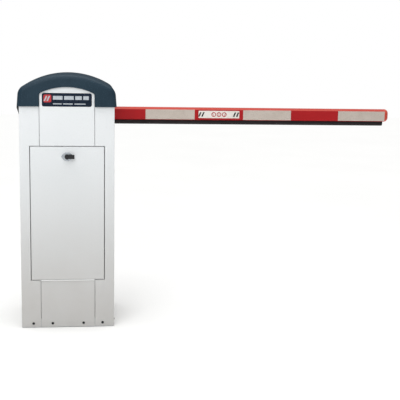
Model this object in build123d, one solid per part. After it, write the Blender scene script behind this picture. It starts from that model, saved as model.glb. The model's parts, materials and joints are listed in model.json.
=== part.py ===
"""Parking barrier gate: steel cabinet, lift-off cap, tilting door and a short striped boom.

Frame: origin on the floor at the centre of the anchor bolts, +Z up, +X the way the boom
reaches when it is down, front (door side) towards -Y.  Millimetres.
"""
from math import cos, pi, radians, sin, sqrt
import os

from build123d import *

# ---------------------------------------------------------------- driving dimensions
# Cabinet
BODY_W = 380.0            # outside width, X
BODY_D = 350.0            # outside depth, Y
CAP_EDGE_Z = 916.0        # height of the cap's lower edge
SHEET = 2.0               # steel sheet of every cabinet panel
PANEL_FOOT = 3.0          # panels stop this far above the floor
PANEL_RISE = 16.0         # side and rear panels run this far up inside the cap
RETURN = 15.0             # depth of the folded returns
BAND_W = 221.0            # width of the centre band between the two side shells
LIP_R = 3.0               # rolled lip of the lower front panel
LIP_UP = 2.2              # the lip rises this far into the gap under the door
SEAM = 1.6                # gap between neighbouring panels
BAND_PROUD = 1.0          # the centre band stands this far in front of the side shells

# Door
DOOR_W = 296.0
DOOR_H = 551.0
DOOR_FOOT_Z = 204.0       # lower edge of the door
DOOR_GAP = 3.0            # gap round the door
TAB_W = 30.0              # tongues that hook behind the lower panel
TAB_DROP = 14.0
TAB_X = 90.0
TAB_SHEET = 3.0

# Cap
CAP_WALL = 3.0
CAP_LAP = 9.0             # the cap stands this far outside the body all round
CAP_DRAFT = 5.5           # how far each side leans in up to the shoulder
CAP_APEX = 128.0          # apex above the lower edge
CAP_DOME_R = 345.0
CAP_SHOULDER_R = 45.0
CAP_EDGE_R = 20.0         # rounding of the front and rear edges
CAP_SEAT = 0.4            # gap between the cap's feet and the top frame
CAP_FOOT_W = 14.0         # square feet inside the cap
WINDOW_APEX = 78.0        # arched window, above the lower edge
WINDOW_R = 247.0
WINDOW_CORNER_R = 15.0
WINDOW_LAP = 8.0          # the front panel runs this far up behind the window
RIM_GAP = 1.5             # gap between the window's rim and the front panel

# Base and frame
PLATE_T = 8.0             # base plate
ANCHOR_X = 280.0          # anchor bolt spacing
ANCHOR_Y = 240.0
ANCHOR_R = 7.0
CABLE_X = 130.0           # cable entry through the base plate
CABLE_Y = 90.0
ANGLE = 30.0              # leg of the corner posts and base angles
ANGLE_T = 3.0
RAIL_H = 30.0
RAIL_T = 4.0
RING_W = 16.0             # width of the flat bars on top of the frame
CROSS_T = 6.0             # thickness of the bearing plates
CROSS_BELOW = 80.0        # bearing plates reach this far below and above the shaft
CROSS_ABOVE = 83.0
POST_CLEAR = 2.0          # angles and bearing plates stop this far from a corner post
FRONT_CROSS_Y = -60.0
REAR_CROSS_Y = 150.0
SHAFT_CLEAR = 8.0         # gap between the shaft and the hole of a bearing plate

# Arm shaft, levers and drive
SHAFT_DROP = 51.0         # arm shaft below the cap's lower edge
SHAFT_R = 15.0
RUN = 0.05                # radial running clearance of every shaft and pin
BEARING_W = 72.0
BEARING_T = 24.0
BEARING_FLANGE_T = 9.0
BEARING_BOSS = 13.0       # wall of the bearing's boss round the shaft
BEARING_HOLE = 26.0       # bolt holes from the shaft axis, both ways
BOLT_R = 4.0              # bolts of the bearings and of the gearbox
BOLT_AF = 13.0            # hexagon across its flats
BOLT_HEAD = 6.0           # height of a head and of a nut
CRANK_R = 70.0            # drive lever and crank radius: the linkage is a parallelogram
SPRING_R = 50.0           # spring lever radius
SWING = 90.0              # travel of the arm, degrees
PIN_R = 8.0
SPRING_PIN_R = 6.0
LEVER_T = 12.0
LEVER_W = 28.0
LEVER_HUB_R = 30.0
DRIVE_Y = 20.0            # front face of the drive lever and of the crank
ROD_GAP = 6.0             # gap between lever and rod
ROD_T = 12.0              # width of a rod eye
EYE_R = 17.0
ROD_R = 8.0
ROD_STUD_R = 5.0          # threaded stud of a rod eye
ROD_STUD_L = 34.0         # stud outside the eye
ROD_STUD_SHOWN = 14.0     # part of it between the eye and the tube
ROD_NUT_H = 6.0
OPEN_GAP = 0.4            # clearance of the opened pivot at the rod's upper eye
DRIVE_DROP = 300.0        # gearbox shaft below the arm shaft
OUT_SHAFT_R = 12.5
MOTOR_PLATE_Y = 2.0
MOTOR_PLATE_T = 8.0
MOTOR_PLATE_BELOW = 95.0
MOTOR_PLATE_ABOVE = 95.0
GEAR_W = 110.0
GEAR_D = 116.0
GEAR_H = 120.0
GEAR_BOSS_R = 32.0        # round boss that centres the gearbox in its plate
GEAR_COVER_R = 42.0       # round cover on the front of the gearbox
GEAR_COVER_T = 5.0
BOLT_DEPTH = 14.0         # bolts enter the gearbox this deep
MOTOR_R = 55.0
MOTOR_L = 150.0
WORM_OFFSET = 47.0
MOTOR_FLANGE_T = 10.0
MOTOR_FINS = 20
FAN_L = 34.0
FAN_SLOTS = 8

# Counterbalance
SPRING_LEVER_Y = 94.0
YOKE_T = 10.0
YOKE_GAP = 4.0            # gap between spring lever and yoke
YOKE_W = 46.0
YOKE_DROP = 80.0          # from the pin down to the spring
SLOT_PLAY = 1.8           # vertical play of the pin in the yoke's slot
SPRING_OD = 44.0
SPRING_WALL = 5.0
SPRING_FOOT_Z = 330.0
SPRING_PLAY = 0.5         # gap between the spring's bore and the plugs in its ends
PLUG_L = 26.0             # plug inside each end of the spring
COLLAR_T = 8.0            # collar that the spring hooks to
ANCHOR_BOLT_R = 6.0       # adjusting bolt under the spring
ANCHOR_NUT_H = 10.0
SHELF_DROP = 70.0         # shelf below the spring's foot
SHELF_T = 6.0
SHELF_HALF = 30.0         # half the shelf's depth, and the height of its rear flange

# Stops
BUMPER_R = 9.0
BUMPER_L = 16.0
BUMPER_AT = 50.0          # distance from the shaft
STOP_GAP = 0.5
STOP_BAR_W = 24.0
STOP_BAR_T = 12.0

# Boom
BOOM_H = 56.0
BOOM_D = 40.0
BOOM_WALL = 2.5
BOOM_TOP_CHAMFER = 9.0
BOOM_LOW_CHAMFER = 6.0
BOOM_START = -200.0
STRIPE = 221.0            # length of one red or white field
FIRST_WHITE = 339.0       # start of the first white field
FIELDS = 5
TAPE_T = 0.6
TAPE_FOLD = 2.6           # the tape wraps this far round the lower chamfer
LABEL_W = 186.0
LABEL_H = 33.0
LABEL_T = 0.8
RUBBER_H = 19.0
RUBBER_W = 34.0
RUBBER_START = 160.0
RUBBER_SHORT = 8.0        # the rubber stops this far before the end cap
KEY_NECK = 10.0
KEY_HEAD = 18.0
KEY_NECK_H = 4.0
KEY_HEAD_H = 5.0
KEY_PLAY = 0.3
END_CAP_L = 19.0
END_CAP_PROUD = 1.0
TAIL_CAP_L = 4.0
END_CAP_CORNER = 20.0
END_CAP_DOME_R = 17.0
BRACKET_T = 12.0
BRACKET_H = 72.0
BRACKET_TAIL = -231.0     # upper corner of the tail
BRACKET_RAKE = 23.0       # the tail slants in by this much towards its foot
BRACKET_CORNER = 12.0
BRACKET_NOSE = 150.0
HUB_R = 41.0
HUB_T = 10.0
HUB_OFF = 4.0             # gap between the rear panel and the hub
BOOM_BOLT_R = 5.0
BOOM_BOLT_X = (-150.0, -70.0, 70.0, 130.0)
HUB_SCREW_R = 4.0
HUB_SCREW_RING = 30.0     # radius of the ring of hub screws
CLAMP_L = 340.0
CLAMP_T = 6.0
WASHER_T = 1.5
BOOM_NUT_H = 8.0

# Lock
LOCK_DOWN = 40.0          # below the door's top edge
FLANGE_W = 42.0
FLANGE_H = 35.0
FLANGE_T = 3.0
BARREL_R = 13.0
BARREL_OUT = 9.0
BARREL_IN = 17.0          # barrel behind the door sheet
CORE_R = 7.5
WING_REACH = 29.0
WING_H = 17.0
WING_T = 5.5
WING_GAP = 0.5
WING_BOSS_R = 10.5
FLANGE_NOSE = 25.0        # reach of the flange's pointed end
CAM_L = 50.0
CAM_W = 16.0
CAM_T = 3.0

# Controls
BOX_W = 250.0
BOX_H = 190.0
BOX_D = 70.0
BOX_Z = 70.0
BOX_Y = -40.0             # front face of the control box
LEG_X = 100.0
ROCKER_W = 20.0
ROCKER_H = 28.0
KNOB_R = 19.0
KNOB_L = 16.0

# Vents in the rear panel
VENT_ROWS = 6
VENT_Z = 330.0            # lowest row
VENT_PITCH = 16.0
VENT_L = 120.0
VENT_H = 6.0

# Fasteners
SCREW_HEAD_R = 5.5
SCREW_HEAD_H = 3.0
SCREW_R = 3.0
SCREW_Z = 18.0
SCREW_OUTER_X = 142.0
SCREW_INNER_X = 63.5
SCREW_SIDE_Y = 125.0
SCREW_L = 10.0

# Badge
BADGE_W = 202.0
BADGE_H = 58.0
BADGE_T = 1.6
BADGE_CORNER = 10.0
BADGE_UP = 27.0             # centre of the badge above the cap edge

# ---------------------------------------------------------------- derived places
SHAFT_Z = CAP_EDGE_Z - SHAFT_DROP
HALF_W = BODY_W / 2
HALF_D = BODY_D / 2
FRONT_Y = -HALF_D
REAR_Y = HALF_D
BODY_TOP = CAP_EDGE_Z + PANEL_RISE
SCREW_TOP_Z = BODY_TOP - 40.0
DOOR_TOP_Z = DOOR_FOOT_Z + DOOR_H
OPEN_HALF = DOOR_W / 2 + DOOR_GAP
OPEN_LOW = DOOR_FOOT_Z - DOOR_GAP
OPEN_HIGH = DOOR_TOP_Z + DOOR_GAP
BAND_HALF = BAND_W / 2
IN_X = HALF_W - SHEET
IN_Y = HALF_D - SHEET
GEAR_Z = SHAFT_Z - DRIVE_DROP
REST_ANGLE = -SWING / 2
PIN_X = CRANK_R * cos(radians(REST_ANGLE))
PIN_DZ = CRANK_R * sin(radians(REST_ANGLE))
ROD_Y = DRIVE_Y + LEVER_T + ROD_GAP
SPRING_REST = 180.0 - SWING / 2
SPRING_PIN_X = SPRING_R * cos(radians(SPRING_REST))
SPRING_PIN_Z = SHAFT_Z + SPRING_R * sin(radians(SPRING_REST))
YOKE_X = (SPRING_PIN_X - SPRING_R) / 2
YOKE_Y = SPRING_LEVER_Y - YOKE_GAP - YOKE_T
SPRING_Y = YOKE_Y + YOKE_T / 2
SPRING_TOP_Z = SPRING_PIN_Z - YOKE_DROP
CROSS_LOW = SHAFT_Z - CROSS_BELOW
CROSS_HIGH = SHAFT_Z + CROSS_ABOVE
HUB_Y = REAR_Y + HUB_OFF
BRACKET_Y = HUB_Y + HUB_T
BOOM_Y = BRACKET_Y + BRACKET_T
BOOM_END = FIRST_WHITE + FIELDS * STRIPE
BOOM_LOW = SHAFT_Z - BOOM_H / 2
BOOM_HIGH = SHAFT_Z + BOOM_H / 2
BOOM_MID_Y = BOOM_Y + BOOM_D / 2
LOCK_Z = DOOR_TOP_Z - LOCK_DOWN
CAP_FRONT_Y = FRONT_Y - CAP_LAP
CAP_HALF_W = HALF_W + CAP_LAP
MOTOR_Y = MOTOR_PLATE_Y - GEAR_D / 2
PLATE_LOW = GEAR_Z - MOTOR_PLATE_BELOW
PLATE_HIGH = GEAR_Z + MOTOR_PLATE_ABOVE


# ---------------------------------------------------------------- helpers
def block(x0, x1, y0, y1, z0, z1):
    """Box between two corners."""
    middle = ((x0 + x1) / 2, (y0 + y1) / 2, (z0 + z1) / 2)
    return Pos(*middle) * Box(x1 - x0, y1 - y0, z1 - z0)


def bar_x(y, z, r, x0, x1):
    """Cylinder along X."""
    return Pos((x0 + x1) / 2, y, z) * Rot(0, 90, 0) * Cylinder(r, x1 - x0)


def bar_y(x, z, r, y0, y1):
    """Cylinder along Y."""
    return Pos(x, (y0 + y1) / 2, z) * Rot(90, 0, 0) * Cylinder(r, y1 - y0)


def bar_z(x, y, r, z0, z1):
    """Cylinder along Z."""
    return Pos(x, y, (z0 + z1) / 2) * Cylinder(r, z1 - z0)


def hex_y(x, z, across, y0, y1):
    """Hexagonal prism along Y, such as a bolt head or a nut."""
    sketch = Plane.XZ * Pos(x, z) * RegularPolygon(across / sqrt(3), 6)
    return Pos(0, y1, 0) * extrude(sketch, y1 - y0)


def prism_y(outline, y0, y1):
    """Extrude an outline drawn in XZ from y0 to y1."""
    return Pos(0, y1, 0) * extrude(Plane.XZ * outline, y1 - y0)


def slab(width, height, corner, y0, y1, x=0.0, z=0.0):
    """Rounded rectangle standing in XZ."""
    return prism_y(Pos(x, z) * RectangleRounded(width, height, corner), y0, y1)


def turned(solid, angle, x=0.0, z=SHAFT_Z):
    """Turn a solid drawn along +X at the origin to a lever angle (anticlockwise seen from the front)."""
    return Pos(x, 0, z) * Rot(0, -angle, 0) * solid


def lever(reach, hub_r, hub_y0, hub_y1, y0, y1, bore_r, pin_r):
    """Flat lever along +X with a thicker hub, a bore and a hole for its pin."""
    arm = prism_y(Pos(reach / 2, 0) * SlotCenterToCenter(reach, LEVER_W), y0, y1)
    body = arm + bar_y(0, 0, hub_r, hub_y0, hub_y1)
    return body - bar_y(0, 0, bore_r, hub_y0 - 1, hub_y1 + 1) - bar_y(reach, 0, pin_r, y0 - 1, y1 + 1)


def mirror_x(solid):
    return mirror(solid, about=Plane.YZ)


def button_screw(length=SCREW_L):
    """Button-head screw along +Y: head in front of y = 0, shank behind it, hexagon socket."""
    head = bar_y(0, 0, SCREW_HEAD_R, -SCREW_HEAD_H, 0)
    head = fillet(head.edges().sort_by(Axis.Y)[0], SCREW_HEAD_H * 0.7)
    return head + bar_y(0, 0, SCREW_R, 0, length) - hex_y(0, 0, 4.0, -SCREW_HEAD_H - 1, -1)


NODES = {}


def keep(name, *solids):
    """Store one node: a single solid, or a group of separate solids."""
    NODES[name] = solids[0] if len(solids) == 1 else Compound(children=list(solids))


# ---------------------------------------------------------------- base and frame
def make_base():
    plate = block(-IN_X, IN_X, -IN_Y, IN_Y, 0, PLATE_T)
    for sx in (-1, 1):
        for sy in (-1, 1):
            plate -= bar_z(sx * ANCHOR_X / 2, sy * ANCHOR_Y / 2, ANCHOR_R, -1, PLATE_T + 1)
    entry = Pos(0, 0, -1) * extrude(RectangleRounded(CABLE_X, CABLE_Y, 12), PLATE_T + 2)
    keep("base_plate", plate - entry)

    top = PLATE_T + ANGLE
    gap = ANGLE + POST_CLEAR
    angles = []
    for sy in (-1, 1):
        wall = block(-IN_X + gap, IN_X - gap, IN_Y - ANGLE_T, IN_Y, PLATE_T, top)
        foot = block(-IN_X + gap, IN_X - gap, IN_Y - ANGLE / 2, IN_Y, PLATE_T, PLATE_T + ANGLE_T)
        one = wall + foot
        for x in (-SCREW_OUTER_X, -SCREW_INNER_X, SCREW_INNER_X, SCREW_OUTER_X):
            one -= bar_y(x, SCREW_Z, SCREW_R, IN_Y - ANGLE_T - 1, IN_Y + 1)
        angles.append(one if sy > 0 else mirror(one, about=Plane.XZ))
    for sx in (-1, 1):
        wall = block(IN_X - ANGLE_T, IN_X, -IN_Y + gap, IN_Y - gap, PLATE_T, top)
        foot = block(IN_X - ANGLE / 2, IN_X, -IN_Y + gap, IN_Y - gap, PLATE_T, PLATE_T + ANGLE_T)
        one = wall + foot
        for y in (-SCREW_SIDE_Y, SCREW_SIDE_Y):
            one -= bar_x(y, SCREW_Z, SCREW_R, IN_X - ANGLE_T - 1, IN_X + 1)
        angles.append(one if sx > 0 else mirror_x(one))
    keep("base_angles", *angles)


def make_posts():
    post = block(IN_X - ANGLE, IN_X, IN_Y - ANGLE_T, IN_Y, PLATE_T, BODY_TOP - RAIL_T)
    post += block(IN_X - ANGLE_T, IN_X, IN_Y - ANGLE, IN_Y, PLATE_T, BODY_TOP - RAIL_T)
    rear_left = mirror_x(post)
    keep("corner_posts", post, rear_left, mirror(post, about=Plane.XZ), mirror(rear_left, about=Plane.XZ))


def make_rails():
    """Side rails between the posts, and four flat bars laid on top of the posts."""
    rails = []
    for z0 in (PLATE_LOW, PLATE_HIGH - RAIL_H, CROSS_LOW):
        rail = block(IN_X - RAIL_T, IN_X, -IN_Y + ANGLE, IN_Y - ANGLE, z0, z0 + RAIL_H)
        rails += [rail, mirror_x(rail)]
    z0 = BODY_TOP - RAIL_T
    side = block(IN_X - RING_W, IN_X, -IN_Y, IN_Y, z0, BODY_TOP)
    front = block(-IN_X + RING_W, IN_X - RING_W, -IN_Y, -IN_Y + RING_W, z0, BODY_TOP)
    keep("frame_rails", *rails, side, mirror_x(side), front, mirror(front, about=Plane.XZ))


# ---------------------------------------------------------------- cabinet panels
def side_panel():
    """Right side shell: side wall with wide flanges on the front and on the rear."""
    wall = block(IN_X, HALF_W, -HALF_D, HALF_D, PANEL_FOOT, BODY_TOP)
    edge = BAND_HALF + SEAM / 2
    front = block(edge, HALF_W, -HALF_D, -IN_Y, PANEL_FOOT, BODY_TOP)
    rear = block(edge, HALF_W, IN_Y, HALF_D, PANEL_FOOT, BODY_TOP)
    shell = wall + front + rear
    corners = [e for e in shell.edges().filter_by(Axis.Z)
               if abs(e.center().X - HALF_W) < 0.01 and abs(abs(e.center().Y) - HALF_D) < 0.01]
    shell = fillet(corners, 3.0)
    shell -= block(edge - 1, OPEN_HALF, -HALF_D - 1, -IN_Y + 1, OPEN_LOW, OPEN_HIGH)
    jamb = block(OPEN_HALF, OPEN_HALF + SHEET, -IN_Y, -IN_Y + RETURN, OPEN_LOW, OPEN_HIGH)
    sill = block(edge, OPEN_HALF + SHEET, -IN_Y, -IN_Y + RETURN / 2, OPEN_LOW - SHEET, OPEN_LOW)
    head = block(edge, OPEN_HALF + SHEET, -IN_Y, -IN_Y + RETURN, OPEN_HIGH, OPEN_HIGH + SHEET)
    shell += jamb + sill + head
    shell -= bar_y(SCREW_OUTER_X, SCREW_Z, SCREW_R, -HALF_D - 1, -IN_Y + 1)
    shell -= bar_y(SCREW_OUTER_X, SCREW_Z, SCREW_R, IN_Y - 1, HALF_D + 1)
    for y in (-SCREW_SIDE_Y, SCREW_SIDE_Y):
        shell -= bar_x(y, SCREW_Z, SCREW_R, IN_X - 1, HALF_W + 1)
    return shell


def make_side_panels():
    right = side_panel()
    keep("right_side_panel", right)
    keep("left_side_panel", mirror_x(right))


def window_outline(grow, foot):
    """Arched window of the cap, grown outwards, from z = foot up."""
    half = BAND_HALF + grow
    radius = WINDOW_R + grow
    apex = CAP_EDGE_Z + WINDOW_APEX + grow
    spring = apex - (radius - sqrt(radius ** 2 - half ** 2))
    low_left = (-half, foot)
    low_right = (half, foot)
    lines = [Line(low_left, low_right), Line(low_right, (half, spring)),
             ThreePointArc((half, spring), (0, apex), (-half, spring)), Line((-half, spring), low_left)]
    face = make_face(lines)
    top = face.vertices().sort_by(Axis.Y)[-2:]
    return fillet(top, WINDOW_CORNER_R + grow)


def make_upper_front_panel():
    """Centre band above the door: it runs up behind the cap's arched window."""
    y0 = FRONT_Y - BAND_PROUD
    y1 = y0 + SHEET
    grown = window_outline(WINDOW_LAP, OPEN_HIGH)
    half = BAND_HALF - SEAM / 2
    face = prism_y(grown, y0, y1) & block(-half, half, y0 - 1, y1 + 1, OPEN_HIGH - 1, CAP_EDGE_Z + CAP_APEX)
    fold = block(-half, half, y1, FRONT_Y + RETURN, OPEN_HIGH, OPEN_HIGH + SHEET)
    keep("upper_front_panel", face + fold)


def make_lower_front_panel():
    """Centre band below the door, with a rolled lip along its top edge."""
    half = BAND_HALF - SEAM / 2
    y0 = FRONT_Y - BAND_PROUD
    face = block(-half, half, y0, y0 + SHEET, PANEL_FOOT, OPEN_LOW)
    for x in (-SCREW_INNER_X, SCREW_INNER_X):
        face -= bar_y(x, SCREW_Z, SCREW_R, y0 - 1, y0 + SHEET + 1)
    lip = bar_x(y0, OPEN_LOW - LIP_R + LIP_UP, LIP_R, -half, half)
    keep("lower_front_panel", face + lip)


def make_rear_panel():
    half = BAND_HALF - SEAM / 2
    y1 = REAR_Y + BAND_PROUD
    face = block(-half, half, y1 - SHEET, y1, PANEL_FOOT, BODY_TOP)
    face -= bar_y(0, SHAFT_Z, SHAFT_R + 9, y1 - SHEET - 1, y1 + 1)
    for row in range(VENT_ROWS):
        z = VENT_Z + row * VENT_PITCH
        face -= prism_y(Pos(0, z) * SlotOverall(VENT_L, VENT_H), y1 - SHEET - 1, y1 + 1)
    for x in (-SCREW_INNER_X, SCREW_INNER_X):
        for z in (SCREW_Z, SCREW_TOP_Z):
            face -= bar_y(x, z, SCREW_R, y1 - SHEET - 1, y1 + 1)
    keep("rear_panel", face)
    ring = bar_y(0, SHAFT_Z, SHAFT_R + 14, y1, y1 + 1.5) + bar_y(0, SHAFT_Z, SHAFT_R + 9, y1 - SHEET, y1)
    keep("shaft_seal", ring - bar_y(0, SHAFT_Z, SHAFT_R + 0.6, y1 - SHEET - 1, y1 + 3))


def make_screws():
    """Button-head screws round the foot of the cabinet and along the top of the rear panel."""
    screws = []
    band_y = FRONT_Y - BAND_PROUD
    for x in (-SCREW_INNER_X, SCREW_INNER_X):
        screws.append(Pos(x, band_y, SCREW_Z) * button_screw())
        for z in (SCREW_Z, SCREW_TOP_Z):
            screws.append(Pos(x, -band_y, z) * Rot(0, 0, 180) * button_screw(SHEET))
    for x in (-SCREW_OUTER_X, SCREW_OUTER_X):
        screws.append(Pos(x, FRONT_Y, SCREW_Z) * button_screw())
        screws.append(Pos(x, REAR_Y, SCREW_Z) * Rot(0, 0, 180) * button_screw())
    for y in (-SCREW_SIDE_Y, SCREW_SIDE_Y):
        screws.append(Pos(-HALF_W, y, SCREW_Z) * Rot(0, 0, -90) * button_screw())
        screws.append(Pos(HALF_W, y, SCREW_Z) * Rot(0, 0, 90) * button_screw())
    keep("panel_screws", *screws)


def make_badge():
    y1 = FRONT_Y - BAND_PROUD
    keep("badge_plate", slab(BADGE_W, BADGE_H, BADGE_CORNER, y1 - BADGE_T, y1, z=CAP_EDGE_Z + BADGE_UP))


# ---------------------------------------------------------------- cap
def cap_block(inset, foot):
    """Domed cap as a filled block, its faces moved in by inset, from z = foot up."""
    low = CAP_HALF_W - inset
    high = low - CAP_DRAFT
    radius = CAP_DOME_R - inset
    apex = CAP_EDGE_Z + CAP_APEX - inset
    shoulder = apex - (radius - sqrt(radius ** 2 - high ** 2))
    lines = [Line((-low, foot), (low, foot)), Line((low, foot), (high, shoulder)),
             ThreePointArc((high, shoulder), (0, apex), (-high, shoulder)),
             Line((-high, shoulder), (-low, foot))]
    face = make_face(lines)
    face = fillet(face.vertices().sort_by(Axis.Y)[-2:], CAP_SHOULDER_R - inset)
    depth = HALF_D + CAP_LAP - inset
    solid = prism_y(face, -depth, depth)
    rims = [e for e in solid.edges()
            if abs(abs(e.center().Y) - depth) < 0.01 and e.center().Z > foot + 0.5]
    return fillet(rims, CAP_EDGE_R - inset)


def make_cap():
    inner = cap_block(CAP_WALL, CAP_EDGE_Z - 5)
    shell = cap_block(0, CAP_EDGE_Z) - inner
    rim_y = FRONT_Y - BAND_PROUD - RIM_GAP
    rim = prism_y(window_outline(CAP_WALL, CAP_EDGE_Z), CAP_FRONT_Y + CAP_WALL / 2, rim_y)
    shell = shell + rim
    shell -= prism_y(window_outline(0, CAP_EDGE_Z - 10), CAP_FRONT_Y - 5, rim_y + 5)

    grown = cap_block(CAP_WALL / 2, CAP_EDGE_Z - 5)
    inset_x = IN_X - CAP_FOOT_W - 1
    inset_y = IN_Y - CAP_FOOT_W - 1
    for sx in (-1, 1):
        for sy in (-1, 1):
            x0, x1 = sorted((sx * inset_x, sx * (inset_x + CAP_FOOT_W)))
            y0, y1 = sorted((sy * inset_y, sy * (inset_y + CAP_FOOT_W)))
            column = block(x0, x1, y0, y1, BODY_TOP + CAP_SEAT, CAP_EDGE_Z + CAP_APEX)
            shell += column & grown
    keep("cap_shell", shell)


# ---------------------------------------------------------------- door and lock
def make_door():
    half = DOOR_W / 2
    skin = block(-half, half, FRONT_Y, FRONT_Y + SHEET, DOOR_FOOT_Z, DOOR_TOP_Z)
    box = block(-half, half, FRONT_Y, FRONT_Y + RETURN, DOOR_FOOT_Z, DOOR_TOP_Z)
    hollow = block(-half + SHEET, half - SHEET, FRONT_Y + SHEET, FRONT_Y + RETURN + 1,
                   DOOR_FOOT_Z + SHEET, DOOR_TOP_Z - SHEET)
    door = skin + (box - hollow)
    door -= bar_y(0, LOCK_Z, BARREL_R - 1, FRONT_Y - 1, FRONT_Y + SHEET + 1)
    y0 = FRONT_Y + SHEET + 1.5
    for x in (-TAB_X, TAB_X):
        tongue = block(x - TAB_W / 2, x + TAB_W / 2, y0, y0 + TAB_SHEET, DOOR_FOOT_Z - TAB_DROP, DOOR_FOOT_Z)
        shelf = block(x - TAB_W / 2, x + TAB_W / 2, y0, FRONT_Y + RETURN,
                      DOOR_FOOT_Z - TAB_SHEET / 2, DOOR_FOOT_Z)
        door += tongue + shelf
    keep("door_panel", door)


def flange_outline():
    """Oval flange whose left end runs out to a point, tangent to the oval."""
    half_w = FLANGE_W / 2
    half_h = FLANGE_H / 2
    touch_x = -half_w ** 2 / FLANGE_NOSE
    touch_z = half_h * sqrt(1 - (half_w / FLANGE_NOSE) ** 2)
    nose = make_face(Polyline((-FLANGE_NOSE, 0), (touch_x, -touch_z), (touch_x, touch_z), close=True))
    return Ellipse(half_w, half_h) + nose


def make_lock():
    y_face = FRONT_Y - FLANGE_T
    flange = prism_y(Pos(0, LOCK_Z) * flange_outline(), y_face, FRONT_Y)
    barrel = bar_y(0, LOCK_Z, BARREL_R, y_face - BARREL_OUT + FLANGE_T, y_face)
    rear = bar_y(0, LOCK_Z, BARREL_R - 1, FRONT_Y, FRONT_Y + BARREL_IN)
    housing = flange + barrel + rear - bar_y(0, LOCK_Z, CORE_R + RUN, FRONT_Y - 50, FRONT_Y + 50)
    ring_y = FRONT_Y + SHEET
    nut = hex_y(0, LOCK_Z, 2 * BARREL_R + 6, ring_y, ring_y + 5)
    keep("lock_housing", housing, nut - bar_y(0, LOCK_Z, BARREL_R - 1, ring_y - 1, ring_y + 6))

    core_front = y_face - BARREL_OUT + FLANGE_T - WING_GAP - WING_T
    core_rear = FRONT_Y + BARREL_IN + CAM_T + 2
    core = bar_y(0, LOCK_Z, CORE_R, core_front, core_rear)
    core -= block(-1, 1, core_front - 1, core_front + 4, LOCK_Z - 4, LOCK_Z + 4)
    keep("lock_core", core)

    wing_y = core_front
    wing = slab(WING_REACH, WING_H, 2.5, wing_y, wing_y + WING_T, x=WING_REACH / 2, z=LOCK_Z)
    wing += bar_y(0, LOCK_Z, WING_BOSS_R, wing_y, wing_y + WING_T)
    keep("lock_wing", wing - bar_y(0, LOCK_Z, CORE_R, wing_y - 1, wing_y + WING_T + 1))

    cam_y = FRONT_Y + BARREL_IN + 0.5
    cam = prism_y(Pos(CAM_L / 2 - CAM_W / 4, LOCK_Z) * SlotOverall(CAM_L + CAM_W / 2, CAM_W),
                  cam_y, cam_y + CAM_T)
    keep("lock_cam", cam - bar_y(0, LOCK_Z, CORE_R, cam_y - 1, cam_y + CAM_T + 1))


# ---------------------------------------------------------------- bearings, shaft and levers
def bearing(y0):
    """Square flange bearing unit on the shaft axis, from y0 towards the rear."""
    flange = slab(BEARING_W, BEARING_W, 10, y0, y0 + BEARING_FLANGE_T, z=SHAFT_Z)
    boss = bar_y(0, SHAFT_Z, SHAFT_R + BEARING_BOSS, y0 + BEARING_FLANGE_T, y0 + BEARING_T)
    unit = flange + boss - bar_y(0, SHAFT_Z, SHAFT_R + RUN, y0 - 1, y0 + BEARING_T + 1)
    for sx in (-1, 1):
        for sz in (-1, 1):
            unit -= bar_y(sx * BEARING_HOLE, SHAFT_Z + sz * BEARING_HOLE, BOLT_R,
                          y0 - 1, y0 + BEARING_FLANGE_T + 1)
    return unit


def cross_plate(y0):
    plate = block(-IN_X + RAIL_T, IN_X - RAIL_T, y0, y0 + CROSS_T, CROSS_LOW, CROSS_HIGH)
    corner = ANGLE + POST_CLEAR
    for sx in (-1, 1):
        x0, x1 = sorted((sx * (IN_X - corner), sx * IN_X))
        plate -= block(x0, x1, y0 - 1, y0 + CROSS_T + 1, BODY_TOP - RAIL_T - 2, CROSS_HIGH + 1)
        if y0 > 0:
            plate -= block(x0, x1, IN_Y - ANGLE - 1, IN_Y + 1, CROSS_LOW - 1, CROSS_HIGH + 1)
    plate -= bar_y(0, SHAFT_Z, SHAFT_R + SHAFT_CLEAR, y0 - 1, y0 + CROSS_T + 1)
    for sx in (-1, 1):
        for sz in (-1, 1):
            plate -= bar_y(sx * BEARING_HOLE, SHAFT_Z + sz * BEARING_HOLE, BOLT_R,
                           y0 - 1, y0 + CROSS_T + 1)
    return plate


def through_bolt(x, z, y0, y1):
    """Bolt that clamps from y0 to y1, its head outside one end and its nut outside the other."""
    shank = bar_y(x, z, BOLT_R, y0 - BOLT_HEAD, y1 + BOLT_HEAD)
    return shank + hex_y(x, z, BOLT_AF, y0 - BOLT_HEAD, y0) + hex_y(x, z, BOLT_AF, y1, y1 + BOLT_HEAD)


def make_bearings():
    """Two bearing plates with a flange bearing each; returns the bolts."""
    keep("front_bearing_plate", cross_plate(FRONT_CROSS_Y))
    keep("rear_bearing_plate", cross_plate(REAR_CROSS_Y))
    rear = mirror(bearing(-REAR_CROSS_Y), about=Plane.XZ)
    keep("flange_bearings", bearing(FRONT_CROSS_Y + CROSS_T), rear)
    grip = CROSS_T + BEARING_FLANGE_T
    bolts = []
    for sx in (-1, 1):
        for sz in (-1, 1):
            x = sx * BEARING_HOLE
            z = SHAFT_Z + sz * BEARING_HOLE
            bolts.append(through_bolt(x, z, FRONT_CROSS_Y, FRONT_CROSS_Y + grip))
            bolts.append(through_bolt(x, z, REAR_CROSS_Y - BEARING_FLANGE_T, REAR_CROSS_Y + CROSS_T))
    return bolts


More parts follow.
